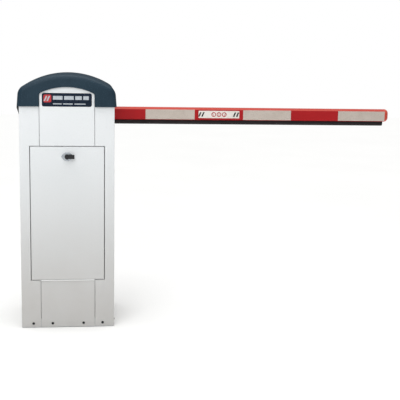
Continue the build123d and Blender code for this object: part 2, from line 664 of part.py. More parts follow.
def make_shaft():
    shaft = bar_y(0, SHAFT_Z, SHAFT_R, FRONT_CROSS_Y - 6, BRACKET_Y)
    key_w = 8.0
    key = block(-key_w / 2, key_w / 2, DRIVE_Y - 6, DRIVE_Y + LEVER_T,
                SHAFT_Z + SHAFT_R - 4, SHAFT_Z + SHAFT_R + 3)
    keep("arm_shaft", shaft - key)
    keep("shaft_key", key)

    drive_end = DRIVE_Y + LEVER_T
    drive = lever(CRANK_R, LEVER_HUB_R, DRIVE_Y - 6, drive_end, DRIVE_Y, drive_end, SHAFT_R, PIN_R)
    keep("drive_lever", turned(drive, REST_ANGLE) - key)
    y1 = SPRING_LEVER_Y + LEVER_T
    spring = lever(SPRING_R, LEVER_HUB_R, SPRING_LEVER_Y, y1 + 6, SPRING_LEVER_Y, y1, SHAFT_R, SPRING_PIN_R)
    keep("spring_lever", turned(spring, SPRING_REST))

    long_pin = bar_y(CRANK_R, 0, PIN_R, DRIVE_Y, ROD_Y + ROD_T + 5)
    long_pin += bar_y(CRANK_R, 0, PIN_R + 4, DRIVE_Y - 3, DRIVE_Y)
    long_pin += bar_y(CRANK_R, 0, PIN_R + 3, ROD_Y + ROD_T + 1, ROD_Y + ROD_T + 3)
    short_pin = bar_y(SPRING_R, 0, SPRING_PIN_R, YOKE_Y - 5, y1 + 3)
    short_pin += bar_y(SPRING_R, 0, SPRING_PIN_R + 3, YOKE_Y - 5, YOKE_Y - 2)
    keep("lever_pins", turned(long_pin, REST_ANGLE), turned(short_pin, SPRING_REST))


def make_stops():
    """Rubber bumpers that the drive lever meets at each end of its travel, on two bars."""
    bumpers = []
    bars = []
    for side in (-1, 1):
        near = LEVER_W / 2 + STOP_GAP
        far = near + BUMPER_L
        rubber = Pos(BUMPER_AT, DRIVE_Y + LEVER_T / 2, side * (near + far) / 2) * Cylinder(BUMPER_R, BUMPER_L)
        bumpers.append(turned(rubber, side * SWING / 2))
        y0 = FRONT_CROSS_Y + CROSS_T
        z0, z1 = sorted((side * far, side * (far + STOP_BAR_T)))
        bar = block(BUMPER_AT - STOP_BAR_W / 2, BUMPER_AT + STOP_BAR_W / 2, y0, REAR_CROSS_Y, z0, z1)
        bars.append(turned(bar, side * SWING / 2))
    keep("stop_bars", *bars)
    keep("stop_bumpers", *bumpers)


# ---------------------------------------------------------------- gearbox, motor and linkage
def make_drive():
    y_plate = MOTOR_PLATE_Y
    plate = block(-IN_X + RAIL_T, IN_X - RAIL_T, y_plate, y_plate + MOTOR_PLATE_T, PLATE_LOW, PLATE_HIGH)
    plate -= bar_y(0, GEAR_Z, GEAR_BOSS_R + 2, y_plate - 1, y_plate + MOTOR_PLATE_T + 1)
    bolt_x = GEAR_W / 2 - 10
    bolt_z = GEAR_H / 2 - 10
    corners = [(sx * bolt_x, GEAR_Z + sz * bolt_z) for sx in (-1, 1) for sz in (-1, 1)]
    for x, z in corners:
        plate -= bar_y(x, z, BOLT_R, y_plate - 1, y_plate + MOTOR_PLATE_T + 1)
    keep("motor_plate", plate)

    y0 = y_plate - GEAR_D
    case = block(-GEAR_W / 2, GEAR_W / 2, y0, y_plate, GEAR_Z - GEAR_H / 2, GEAR_Z + GEAR_H / 2)
    case = fillet(case.edges().filter_by(Axis.Y), 14)
    case += bar_y(0, GEAR_Z, GEAR_BOSS_R, y_plate, y_plate + MOTOR_PLATE_T - 1)
    case -= bar_y(0, GEAR_Z, OUT_SHAFT_R + RUN, y0 + 12, y_plate + MOTOR_PLATE_T)
    for x, z in corners:
        case -= bar_y(x, z, BOLT_R, y_plate - BOLT_DEPTH - 2, y_plate + 1)
    head_y = y_plate + MOTOR_PLATE_T
    bolts = [bar_y(x, z, BOLT_R, y_plate - BOLT_DEPTH, head_y)
             + hex_y(x, z, BOLT_AF, head_y, head_y + BOLT_HEAD) for x, z in corners]
    keep("gearbox_housing", case + bar_y(0, GEAR_Z, GEAR_COVER_R, y0 - GEAR_COVER_T, y0))

    z1 = GEAR_Z - GEAR_H / 2
    x = -WORM_OFFSET
    flange = bar_z(x, MOTOR_Y, 41, z1 - MOTOR_FLANGE_T, z1)
    can = bar_z(x, MOTOR_Y, MOTOR_R - 5, z1 - MOTOR_L, z1 - MOTOR_FLANGE_T)
    rib = Pos(MOTOR_R - 6, 0, 0) * Box(8, 3, MOTOR_L - MOTOR_FLANGE_T - 16)
    for i in range(MOTOR_FINS):
        turn = Rot(0, 0, (i + 0.5) * 360 / MOTOR_FINS)
        can += Pos(x, MOTOR_Y, z1 - (MOTOR_L + MOTOR_FLANGE_T) / 2) * turn * rib
    keep("motor", flange + can)
    z2 = z1 - MOTOR_L
    cover = bar_z(x, MOTOR_Y, MOTOR_R - 3, z2 - FAN_L, z2)
    cover = fillet(cover.edges().sort_by(Axis.Z)[0], 8)
    for i in range(FAN_SLOTS):
        turn = Rot(0, 0, i * 360 / FAN_SLOTS)
        cover -= Pos(x, MOTOR_Y, z2 - FAN_L) * turn * Pos(26, 0, 0) * Box(26, 5, 6)
    keep("fan_cover", cover)
    return bolts


def make_linkage():
    y0 = DRIVE_Y
    y1 = DRIVE_Y + LEVER_T
    shaft = bar_y(0, GEAR_Z, OUT_SHAFT_R, MOTOR_PLATE_Y - GEAR_D + 14, y1)
    keep("output_shaft", shaft)
    crank = lever(CRANK_R, LEVER_HUB_R - 4, y0 - 4, y1, y0, y1, OUT_SHAFT_R, PIN_R)
    keep("crank", turned(crank, REST_ANGLE, z=GEAR_Z))
    pin = bar_y(CRANK_R, 0, PIN_R, y0, ROD_Y + ROD_T + 5)
    pin += bar_y(CRANK_R, 0, PIN_R + 3, ROD_Y + ROD_T + 1, ROD_Y + ROD_T + 3)
    keep("crank_pin", turned(pin, REST_ANGLE, z=GEAR_Z))

    low = GEAR_Z + PIN_DZ
    high = SHAFT_Z + PIN_DZ
    mid_y = ROD_Y + ROD_T / 2
    eyes = []
    for z, side, bore in ((low, 1, PIN_R + RUN), (high, -1, PIN_R + OPEN_GAP)):
        ring = bar_y(PIN_X, z, EYE_R, ROD_Y, ROD_Y + ROD_T)
        z0, z1 = sorted((z + side * (EYE_R - 3), z + side * (EYE_R + ROD_STUD_L)))
        eye = ring + bar_z(PIN_X, mid_y, ROD_STUD_R, z0, z1)
        eyes.append(eye - bar_y(PIN_X, z, bore, ROD_Y - 1, ROD_Y + ROD_T + 1))
    tube_low = low + EYE_R + ROD_STUD_SHOWN
    tube_high = high - EYE_R - ROD_STUD_SHOWN
    tube = bar_z(PIN_X, mid_y, ROD_R, tube_low, tube_high)
    depth = ROD_STUD_L - ROD_STUD_SHOWN
    tube -= bar_z(PIN_X, mid_y, ROD_STUD_R, tube_low - 1, tube_low + depth)
    tube -= bar_z(PIN_X, mid_y, ROD_STUD_R, tube_high - depth, tube_high + 1)
    keep("drive_rod", tube)
    nuts = []
    for z0 in (tube_low - ROD_NUT_H, tube_high):
        nut = Pos(PIN_X, mid_y, z0) * extrude(RegularPolygon(9.0, 6), ROD_NUT_H)
        nuts.append(nut - bar_z(PIN_X, mid_y, ROD_STUD_R, z0 - 1, z0 + ROD_NUT_H + 1))
    keep("rod_ends", *eyes, *nuts)


# ---------------------------------------------------------------- counterbalance
def make_counterbalance():
    half = YOKE_W / 2
    slot_h = 2 * (SPRING_PIN_R + SLOT_PLAY)
    slot_l = (SPRING_R + SPRING_PIN_X) + 2 * SPRING_PIN_R + 2.0
    top = SPRING_PIN_Z + slot_h / 2 + 9
    plate = block(YOKE_X - half, YOKE_X + half, YOKE_Y, YOKE_Y + YOKE_T, SPRING_TOP_Z + COLLAR_T, top)
    plate -= block(YOKE_X - slot_l / 2, YOKE_X + slot_l / 2, YOKE_Y - 1, YOKE_Y + YOKE_T + 1,
                   SPRING_PIN_Z - slot_h / 2, SPRING_PIN_Z + slot_h / 2)
    plate = fillet(plate.edges().filter_by(Axis.Y).sort_by(Axis.Z)[-2:], 8)
    plug_r = SPRING_OD / 2 - SPRING_WALL - SPRING_PLAY
    seat = bar_z(YOKE_X, SPRING_Y, plug_r, SPRING_TOP_Z - PLUG_L, SPRING_TOP_Z)
    collar = bar_z(YOKE_X, SPRING_Y, SPRING_OD / 2, SPRING_TOP_Z, SPRING_TOP_Z + COLLAR_T)
    keep("spring_yoke", plate + collar + seat)

    outer = bar_z(YOKE_X, SPRING_Y, SPRING_OD / 2, SPRING_FOOT_Z, SPRING_TOP_Z)
    inner = bar_z(YOKE_X, SPRING_Y, SPRING_OD / 2 - SPRING_WALL, SPRING_FOOT_Z - 1, SPRING_TOP_Z + 1)
    keep("counterbalance_spring", outer - inner)

    plug = bar_z(YOKE_X, SPRING_Y, plug_r, SPRING_FOOT_Z, SPRING_FOOT_Z + PLUG_L)
    plug += bar_z(YOKE_X, SPRING_Y, SPRING_OD / 2, SPRING_FOOT_Z - COLLAR_T, SPRING_FOOT_Z)
    shelf_z = SPRING_FOOT_Z - SHELF_DROP
    shelf_top = shelf_z + SHELF_T
    bolt = bar_z(YOKE_X, SPRING_Y, ANCHOR_BOLT_R, shelf_z - 24, SPRING_FOOT_Z - COLLAR_T)
    nuts = []
    for z0 in (shelf_z - ANCHOR_NUT_H, shelf_top):
        nut = Pos(YOKE_X, SPRING_Y, z0) * extrude(RegularPolygon(11.0, 6), ANCHOR_NUT_H)
        nuts.append(nut - bar_z(YOKE_X, SPRING_Y, ANCHOR_BOLT_R, z0 - 1, z0 + ANCHOR_NUT_H + 1))
    keep("spring_anchor", plug + bolt, *nuts)

    end_x = IN_X - ANGLE_T
    y0 = SPRING_Y - SHELF_HALF
    y1 = SPRING_Y + SHELF_HALF
    shelf = block(-end_x, end_x, y0, y1, shelf_z, shelf_top)
    shelf += block(-end_x, end_x, y1 - SHELF_T, y1, shelf_z - SHELF_HALF, shelf_z)
    keep("spring_shelf", shelf - bar_z(YOKE_X, SPRING_Y, ANCHOR_BOLT_R + 0.5, shelf_z - 31, shelf_top + 1))


# ---------------------------------------------------------------- boom
def boom_outline():
    """Cross-section of the boom in YZ, front face at y = BOOM_Y."""
    y0 = BOOM_Y
    y1 = BOOM_Y + BOOM_D
    t = BOOM_TOP_CHAMFER
    b = BOOM_LOW_CHAMFER
    return [(y0 + b, BOOM_LOW), (y1 - b, BOOM_LOW), (y1, BOOM_LOW + b), (y1, BOOM_HIGH - t),
            (y1 - t, BOOM_HIGH), (y0 + t, BOOM_HIGH), (y0, BOOM_HIGH - t), (y0, BOOM_LOW + b)]


def prism_x(points, x0, x1):
    """Extrude a polygon drawn in YZ from x0 to x1."""
    face = make_face(Polyline(*points, close=True))
    return Pos(x0, 0, 0) * extrude(Plane.YZ * face, x1 - x0)


def key_slot(x0, x1, play):
    """T-shaped slot in the boom's underside, shrunk by play for the rubber's key."""
    neck = KEY_NECK / 2 - play
    head = KEY_HEAD / 2 - play
    z0 = BOOM_LOW
    z1 = BOOM_LOW + KEY_NECK_H
    z2 = z1 + KEY_HEAD_H - play
    solid = block(x0, x1, BOOM_MID_Y - neck, BOOM_MID_Y + neck, z0 - 0.01, z1 + play + 0.1)
    return solid + block(x0, x1, BOOM_MID_Y - head, BOOM_MID_Y + head, z1 + play, z2)


def make_boom():
    outer = prism_x(boom_outline(), BOOM_START, BOOM_END)
    wall = BOOM_WALL
    floor = BOOM_LOW + KEY_NECK_H + KEY_HEAD_H + wall
    y0 = BOOM_Y + wall
    y1 = BOOM_Y + BOOM_D - wall
    t = BOOM_TOP_CHAMFER - wall * 0.4
    cavity = prism_x([(y0, floor), (y1, floor), (y1, BOOM_HIGH - wall - t), (y1 - t, BOOM_HIGH - wall),
                      (y0 + t, BOOM_HIGH - wall), (y0, BOOM_HIGH - wall - t)], BOOM_START - 1, BOOM_END + 1)
    tube = outer - cavity - key_slot(BOOM_START - 1, BOOM_END + 1, 0.0)
    for x in BOOM_BOLT_X:
        tube -= bar_y(x, SHAFT_Z, BOOM_BOLT_R, BOOM_Y - 1, BOOM_Y + BOOM_D + 1)
    keep("boom_tube", tube)

    z0 = BOOM_LOW + BOOM_LOW_CHAMFER
    z1 = BOOM_HIGH - BOOM_TOP_CHAMFER
    tapes = []
    fold = TAPE_FOLD
    slant = TAPE_T / sqrt(2)
    strip = [(BOOM_Y, z1), (BOOM_Y, z0),
             (BOOM_Y + fold, z0 - fold), (BOOM_Y + fold - slant, z0 - fold - slant),
             (BOOM_Y - TAPE_T, z0 - TAPE_T + slant), (BOOM_Y - TAPE_T, z1)]
    other = [(2 * BOOM_MID_Y - y, z) for y, z in strip]
    for i in range(0, FIELDS, 2):
        x = FIRST_WHITE + i * STRIPE
        tapes += [prism_x(strip, x, x + STRIPE), prism_x(other, x, x + STRIPE)]
    keep("reflective_tapes", *tapes)
    label_x = FIRST_WHITE + 1.5 * STRIPE
    keep("label_plate", slab(LABEL_W, LABEL_H, 3, BOOM_Y - LABEL_T, BOOM_Y, x=label_x, z=(z0 + z1) / 2))

    half = RUBBER_W / 2
    low = BOOM_LOW - RUBBER_H
    end = BOOM_END - RUBBER_SHORT
    lip = prism_x([(BOOM_MID_Y - half, BOOM_LOW), (BOOM_MID_Y - half, low + 9), (BOOM_MID_Y - half + 9, low),
                   (BOOM_MID_Y + half - 9, low), (BOOM_MID_Y + half, low + 9), (BOOM_MID_Y + half, BOOM_LOW)],
                  RUBBER_START, end)
    hollow = block(RUBBER_START - 1, end + 1, BOOM_MID_Y - half + 5, BOOM_MID_Y + half - 5,
                   low + 6, BOOM_LOW - 3.5)
    keep("rubber_edge", lip - hollow + key_slot(RUBBER_START, end, KEY_PLAY))

    sketch = Plane.YZ * Pos(BOOM_MID_Y, SHAFT_Z) * RectangleRounded(
        BOOM_D + 2 * END_CAP_PROUD, BOOM_H + 2 * END_CAP_PROUD, END_CAP_CORNER)
    cap = Pos(BOOM_END, 0, 0) * extrude(sketch, END_CAP_L)
    cap = fillet(cap.faces().sort_by(Axis.X)[-1].edges(), END_CAP_DOME_R)
    plug = block(BOOM_END - 25, BOOM_END, BOOM_Y + wall + 0.3, BOOM_Y + BOOM_D - wall - 0.3,
                 floor + 0.3, BOOM_HIGH - wall - t - 0.5)
    tail = prism_x(boom_outline(), BOOM_START - TAIL_CAP_L, BOOM_START)
    keep("boom_end_caps", cap + plug, tail)


def make_boom_mount():
    hub = bar_y(0, SHAFT_Z, HUB_R, HUB_Y, HUB_Y + HUB_T)
    hub = chamfer(hub.edges().sort_by(Axis.Y)[0], 2.0)
    hub -= bar_y(0, SHAFT_Z, SHAFT_R, HUB_Y - 1, HUB_Y + HUB_T + 1)
    turns = [radians(a) for a in (45, 135, 225, 315)]
    places = [(HUB_SCREW_RING * cos(a), SHAFT_Z + HUB_SCREW_RING * sin(a)) for a in turns]
    for x, z in places:
        hub -= bar_y(x, z, HUB_SCREW_R, HUB_Y - 1, HUB_Y + HUB_T + 1)
    keep("arm_hub", hub)

    low = SHAFT_Z - BRACKET_H / 2
    high = SHAFT_Z + BRACKET_H / 2
    outline = make_face(Polyline((BRACKET_TAIL, high), (BRACKET_NOSE, high), (BRACKET_NOSE, low),
                                 (BRACKET_TAIL + BRACKET_RAKE, low), close=True))
    outline = fillet(outline.vertices(), BRACKET_CORNER)
    plate = prism_y(outline, BRACKET_Y, BRACKET_Y + BRACKET_T)
    for x, z in places:
        plate -= bar_y(x, z, HUB_SCREW_R, BRACKET_Y - 1, BRACKET_Y + BRACKET_T + 1)
    for x in BOOM_BOLT_X:
        plate -= bar_y(x, SHAFT_Z, BOOM_BOLT_R, BRACKET_Y - 1, BRACKET_Y + BRACKET_T + 1)
    keep("arm_bracket", plate)
    screws = [bar_y(x, z, HUB_SCREW_R, HUB_Y, BRACKET_Y + BRACKET_T - 0.5) for x, z in places]

    y0 = BOOM_Y + BOOM_D
    y1 = y0 + CLAMP_T
    clamp = slab(CLAMP_L, BOOM_H - 4, 8, y0, y1, x=-10, z=SHAFT_Z)
    bolts = []
    nuts = []
    for x in BOOM_BOLT_X:
        clamp -= bar_y(x, SHAFT_Z, BOOM_BOLT_R, y0 - 1, y1 + 1)
        bolts.append(bar_y(x, SHAFT_Z, BOOM_BOLT_R, BRACKET_Y, y1 + BOOM_NUT_H + 3))
        washer = bar_y(x, SHAFT_Z, 10.5, y1, y1 + WASHER_T)
        nut = hex_y(x, SHAFT_Z, 17, y1 + WASHER_T, y1 + WASHER_T + BOOM_NUT_H) + washer
        nuts.append(nut - bar_y(x, SHAFT_Z, BOOM_BOLT_R, y1 - 1, y1 + 20))
    keep("clamp_plate", clamp)
    keep("boom_bolts", *bolts, *screws)
    keep("boom_nuts", *nuts)


# ---------------------------------------------------------------- controls
def make_controls():
    z1 = BOX_Z + BOX_H
    y1 = BOX_Y + BOX_D
    wall = 3.0
    box = block(-BOX_W / 2, BOX_W / 2, BOX_Y, y1, BOX_Z, z1)
    box = fillet(box.edges().filter_by(Axis.Y), 6)
    box -= block(-BOX_W / 2 + wall, BOX_W / 2 - wall, BOX_Y - 1, y1 - wall, BOX_Z + wall, z1 - wall)
    for sx in (-1, 1):
        x = sx * LEG_X
        box += block(x - 12, x + 12, y1 - 4, y1, PLATE_T, BOX_Z + 8)
        box += block(x - 12, x + 12, y1 - 4, y1 + 24, PLATE_T, PLATE_T + 4)
    board_y = y1 - wall - 12
    for sx in (-1, 1):
        for z in (BOX_Z + 28, z1 - 28):
            box += bar_y(sx * 85, z, 3.0, board_y + 1.6, y1 - wall)
    keep("control_box", box)
    keep("control_board", block(-95, 95, board_y, board_y + 1.6, BOX_Z + 20, z1 - 20))
    pitch = 10.0
    ways = 14
    strip = block(-ways * pitch / 2, ways * pitch / 2, board_y - 14, board_y, BOX_Z + 26, BOX_Z + 42)
    for i in range(ways):
        x = (i - (ways - 1) / 2) * pitch
        strip -= block(x - 3, x + 3, board_y - 15, board_y - 8, BOX_Z + 25, BOX_Z + 33)
        strip -= bar_y(x, BOX_Z + 38, 2.2, board_y - 15, board_y - 11)
    transformer = block(-88, -28, board_y - 36, board_y, BOX_Z + 90, BOX_Z + 140)
    capacitor = bar_y(50, BOX_Z + 120, 20, board_y - 44, board_y)
    keep("board_components", transformer, capacitor, strip)

    lid_t = 2.5
    lid = slab(BOX_W, BOX_H, 6, BOX_Y - lid_t, BOX_Y, z=BOX_Z + BOX_H / 2)
    sw_x = BOX_W / 2 - 34
    sw_z = z1 - 34
    lid -= block(sw_x - ROCKER_W / 2 - 2, sw_x + ROCKER_W / 2 + 2, BOX_Y - lid_t - 1, BOX_Y + 1,
                 sw_z - ROCKER_H / 2 - 2, sw_z + ROCKER_H / 2 + 2)
    y0 = BOX_Y - lid_t
    frame = slab(ROCKER_W + 12, ROCKER_H + 12, 4, y0 - 2, y0, x=sw_x, z=sw_z)
    frame += block(sw_x - ROCKER_W / 2 - 2, sw_x + ROCKER_W / 2 + 2, y0, y0 + 20,
                   sw_z - ROCKER_H / 2 - 2, sw_z + ROCKER_H / 2 + 2)
    frame -= block(sw_x - ROCKER_W / 2 - 0.5, sw_x + ROCKER_W / 2 + 0.5, y0 - 3, y0 + 16,
                   sw_z - ROCKER_H / 2 - 0.7, sw_z + ROCKER_H / 2 + 0.7)
    keep("control_box_lid", lid + frame)
    rocker = prism_x([(y0 - 4.5, sw_z + ROCKER_H / 2 - 1), (y0 - 1, sw_z), (y0 - 1, sw_z - ROCKER_H / 2 + 1),
                      (y0 + 6, sw_z - ROCKER_H / 2 + 2), (y0 + 6, sw_z + ROCKER_H / 2 - 2)],
                     sw_x - ROCKER_W / 2, sw_x + ROCKER_W / 2)
    keep("power_rocker", rocker)

    gap_y = MOTOR_PLATE_Y - GEAR_D - 5
    stem = bar_y(0, GEAR_Z, 6, gap_y - 9, gap_y - 0.4)
    knob = bar_y(0, GEAR_Z, KNOB_R, gap_y - 9 - KNOB_L, gap_y - 9)
    for i in range(6):
        a = radians(i * 60 + 30)
        knob -= bar_y((KNOB_R + 4) * cos(a), GEAR_Z + (KNOB_R + 4) * sin(a), 7.5, gap_y - 40, gap_y)
    keep("release_knob", knob + stem)

    gland_y = BOX_Y + BOX_D / 2
    gland = bar_z(0, gland_y, 11, BOX_Z - 16, BOX_Z) + bar_z(0, gland_y, 14, BOX_Z - 6, BOX_Z)
    keep("cable_gland", gland - bar_z(0, gland_y, 6, BOX_Z - 20, BOX_Z + 1))


# ---------------------------------------------------------------- build
make_base()
make_posts()
make_rails()
make_side_panels()
make_upper_front_panel()
make_lower_front_panel()
make_rear_panel()
make_screws()
make_badge()
make_cap()
make_door()
make_lock()
keep("frame_bolts", *make_bearings(), *make_drive())
make_shaft()
make_stops()
make_linkage()
make_counterbalance()
make_boom()
make_boom_mount()
make_controls()

os.makedirs("parts", exist_ok=True)
for name, solid in NODES.items():
    export_step(solid, "parts/" + name + ".step")
print(len(NODES), "nodes")
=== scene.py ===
"""Parking barrier gate: finishes, springs, screws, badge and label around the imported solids.

Metres.  Origin on the floor at the centre of the anchor bolts, +Z up, the boom along +X,
front (door side) towards -Y.
"""

import json
from math import cos, pi, radians, sin

import bmesh
import bpy
from mathutils import Matrix, Vector

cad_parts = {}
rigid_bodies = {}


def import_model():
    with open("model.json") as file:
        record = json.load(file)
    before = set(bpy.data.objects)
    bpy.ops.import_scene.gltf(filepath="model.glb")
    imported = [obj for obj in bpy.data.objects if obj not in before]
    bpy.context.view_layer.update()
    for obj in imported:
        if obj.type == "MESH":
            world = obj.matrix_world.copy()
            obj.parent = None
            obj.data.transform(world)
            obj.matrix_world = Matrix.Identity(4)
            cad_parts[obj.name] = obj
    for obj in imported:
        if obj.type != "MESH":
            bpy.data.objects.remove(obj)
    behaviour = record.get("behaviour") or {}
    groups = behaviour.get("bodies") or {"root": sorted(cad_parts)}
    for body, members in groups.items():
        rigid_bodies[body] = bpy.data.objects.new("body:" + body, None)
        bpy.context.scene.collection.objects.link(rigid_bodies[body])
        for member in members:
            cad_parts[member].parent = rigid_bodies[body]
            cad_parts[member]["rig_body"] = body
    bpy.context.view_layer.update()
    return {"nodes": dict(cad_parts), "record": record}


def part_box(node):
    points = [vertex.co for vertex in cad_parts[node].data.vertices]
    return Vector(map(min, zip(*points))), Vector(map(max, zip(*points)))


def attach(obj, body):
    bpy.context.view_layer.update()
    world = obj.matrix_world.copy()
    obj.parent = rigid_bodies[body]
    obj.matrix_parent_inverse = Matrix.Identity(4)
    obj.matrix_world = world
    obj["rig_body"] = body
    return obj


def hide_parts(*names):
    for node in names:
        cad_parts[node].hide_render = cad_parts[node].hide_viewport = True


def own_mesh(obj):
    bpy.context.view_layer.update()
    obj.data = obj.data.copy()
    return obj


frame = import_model()

MM = 0.001
render = bpy.context.scene


# ---------------------------------------------------------------- nodes and colours
def linear(code):
    """An sRGB hex colour as linear RGBA."""
    parts = [int(code[i:i + 2], 16) / 255 for i in (1, 3, 5)]
    return (*[c / 12.92 if c <= 0.04045 else ((c + 0.055) / 1.055) ** 2.4 for c in parts], 1.0)


def add(tree, kind, links=None, values=None, **settings):
    """Add a node: settings are its properties, values its fixed inputs, links what feeds the others."""
    node = tree.nodes.new(kind)
    for name, value in settings.items():
        setattr(node, name, value)
    for key, value in (values or {}).items():
        node.inputs[key].default_value = value
    for key, socket in (links or {}).items():
        tree.links.new(socket, node.inputs[key])
    return node


def per_metre(size_mm):
    """Texture scale that gives features of this size."""
    return 1.0 / (size_mm * MM)


MIX_A, MIX_B, MIX_COLOUR = 6, 7, 2      # the colour sockets of a Mix node


def blend_colour(tree, factor, a, b):
    """Mix two colours, each a hex code or a socket."""
    links = {"Factor": factor}
    values = {}
    for key, colour in ((MIX_A, a), (MIX_B, b)):
        if isinstance(colour, str):
            values[key] = linear(colour)
        else:
            links[key] = colour
    return add(tree, "ShaderNodeMix", links, values, data_type="RGBA").outputs[MIX_COLOUR]


# Each pattern: its texture node, its fixed inputs, its settings, and the output that is read.
# Grain is sandy, peel is smooth and rolling, cells are round dimples, and honeycomb has near-regular
# raised cells with grooves between them.
PATTERNS = {
    "grain": ("ShaderNodeTexNoise", {"Detail": 3.0}, {}, "Fac"),
    "peel": ("ShaderNodeTexNoise", {"Detail": 0.0}, {}, "Fac"),
    "cells": ("ShaderNodeTexVoronoi", {"Randomness": 0.9}, {}, "Distance"),
    "honeycomb": ("ShaderNodeTexVoronoi", {"Randomness": 0.2}, {"feature": "DISTANCE_TO_EDGE"}, "Distance"),
}
EVEN = (1, 1, 1)


def pattern(tree, place, name, size_mm, stretch=EVEN):
    """Height or factor of one surface pattern; stretch below 1 draws it out along that axis."""
    if stretch != EVEN:
        place = add(tree, "ShaderNodeMapping", {"Vector": place}, {"Scale": stretch}).outputs["Vector"]
    kind, inputs, settings, output = PATTERNS[name]
    values = {"Scale": per_metre(size_mm), **inputs}
    return add(tree, kind, {"Vector": place}, values, **settings).outputs[output]


NOISE_LOW, NOISE_HIGH = 0.3, 0.7            # a noise pattern's values lie mostly between these
NOISE_LEAST, NOISE_MOST = 0.2, 0.8          # and nearly all of them between these
FLECK_START, FLECK_FULL = 0.62, 0.70        # only the tops of the noise are flecks
FOOT_SHADE_PATCH_MM = 120.0                       # patches in which the painted shade at the foot is weaker
FOOT_SHADE_THINNEST = 0.8                         # its share there
TOP_HIGHLIGHT_START, TOP_HIGHLIGHT_FULL = 0.08, 0.70          # painted highlight, by how far a face looks up: the Z of its normal
WEAR_START, WEAR_FULL = 0.97, 0.80          # how far an edge turns: cosine to the flat face beside it
WEAR_MOST = 0.7                             # rubbed edges keep some of their coat
WEAR_PATCH_MM = 9.0
WEAR_SAMPLES = 6
SMEAR_SHARE = 0.4                           # size of the glossier smears, as a share of the patches


def surface(name, tones, patch_mm, roughness, relief, wear=None, foot=None, fleck=None, top_highlight=None,
            **shader):
    """A finish on Object coordinates.

    tones: two colours in soft patches of patch_mm.  roughness: its lowest and highest value.
    relief: (pattern, size mm, height mm[, stretch]) layers of bump.  wear: (colour, width mm) of
    rubbed edges.  foot: (colour, height mm) of painted shade, full at the floor and gone at that
    height.  fleck: (colour, size mm, share) of small spots.  top_highlight: (colour, share) of
    painted highlight on the faces that look up.  The rest are inputs of the shader itself.
    """
    material = bpy.data.materials.new(name)
    material.use_nodes = True
    tree = material.node_tree
    tree.nodes.clear()
    own = add(tree, "ShaderNodeTexCoord").outputs
    place = own["Object"]
    patches = pattern(tree, place, "grain", patch_mm)
    spread = add(tree, "ShaderNodeMapRange", {"Value": patches},
                 {"From Min": NOISE_LOW, "From Max": NOISE_HIGH}).outputs["Result"]
    colour = blend_colour(tree, spread, *tones)
    if fleck:
        spots = pattern(tree, place, "peel", fleck[1])
        few = add(tree, "ShaderNodeMapRange", {"Value": spots},
                  {"From Min": FLECK_START, "From Max": FLECK_FULL, "To Max": fleck[2]}).outputs["Result"]
        colour = blend_colour(tree, few, colour, fleck[0])
    # Painted shade: darker towards the floor, standing in for the light falling off towards the foot.
    if foot:
        height = add(tree, "ShaderNodeSeparateXYZ", {"Vector": place}).outputs["Z"]
        low = add(tree, "ShaderNodeMapRange", {"Value": height},
                  {"From Min": 0.0, "From Max": foot[1] * MM, "To Min": 1.0, "To Max": 0.0},
                  interpolation_type="SMOOTHSTEP").outputs["Result"]
        clouds = pattern(tree, place, "grain", FOOT_SHADE_PATCH_MM)
        uneven = add(tree, "ShaderNodeMapRange", {"Value": clouds},
                     {"From Min": NOISE_LEAST, "From Max": NOISE_MOST,
                      "To Min": FOOT_SHADE_THINNEST, "To Max": 1.0}).outputs["Result"]
        foot_shade = add(tree, "ShaderNodeMath", {0: low, 1: uneven}, operation="MULTIPLY").outputs["Value"]
        colour = blend_colour(tree, foot_shade, colour, foot[0])
    # Painted highlight: faces that look up are made lighter, standing in for the light from above.
    if top_highlight:
        upward = add(tree, "ShaderNodeSeparateXYZ", {"Vector": own["Normal"]}).outputs["Z"]
        top_highlight_share = add(tree, "ShaderNodeMapRange", {"Value": upward},
                       {"From Min": TOP_HIGHLIGHT_START, "From Max": TOP_HIGHLIGHT_FULL, "To Max": top_highlight[1]}).outputs["Result"]
        colour = blend_colour(tree, top_highlight_share, colour, top_highlight[0])
    if wear:
        round_normal = add(tree, "ShaderNodeBevel", values={"Radius": wear[1] * MM},
                           samples=WEAR_SAMPLES).outputs["Normal"]
        flat_normal = add(tree, "ShaderNodeNewGeometry").outputs["Normal"]
        turn = add(tree, "ShaderNodeVectorMath", {0: round_normal, 1: flat_normal},
                   operation="DOT_PRODUCT").outputs["Value"]
        rub = add(tree, "ShaderNodeMapRange", {"Value": turn},
                  {"From Min": WEAR_START, "From Max": WEAR_FULL, "To Max": WEAR_MOST}).outputs["Result"]
        scuffs = pattern(tree, place, "grain", WEAR_PATCH_MM)
        patchy = add(tree, "ShaderNodeMath", {0: rub, 1: scuffs}, operation="MULTIPLY").outputs["Value"]
        colour = blend_colour(tree, patchy, colour, wear[0])
    smear = pattern(tree, place, "grain", patch_mm * SMEAR_SHARE)
    rough = add(tree, "ShaderNodeMapRange", {"Value": smear},
                {"From Min": NOISE_LOW, "From Max": NOISE_HIGH,
                 "To Min": roughness[0], "To Max": roughness[1]}).outputs["Result"]
    links = {"Base Color": colour, "Roughness": rough}
    for shape, size, height, *stretch in relief:
        feed = {"Height": pattern(tree, place, shape, size, *stretch)}
        if "Normal" in links:
            feed["Normal"] = links["Normal"]
        links["Normal"] = add(tree, "ShaderNodeBump", feed, {"Distance": height * MM}).outputs["Normal"]
    values = {key.replace("_", " "): value for key, value in shader.items()}
    gloss = add(tree, "ShaderNodeBsdfPrincipled", links, values)
    add(tree, "ShaderNodeOutputMaterial", {"Surface": gloss.outputs["BSDF"]})
    return material


# ---------------------------------------------------------------- finishes
# How lines in a surface are drawn out.
ALONG_BOOM = (0.01, 1, 1)
ALONG_SHAFT = (1, 0.05, 1)
UP_AND_DOWN = (1, 1, 0.02)

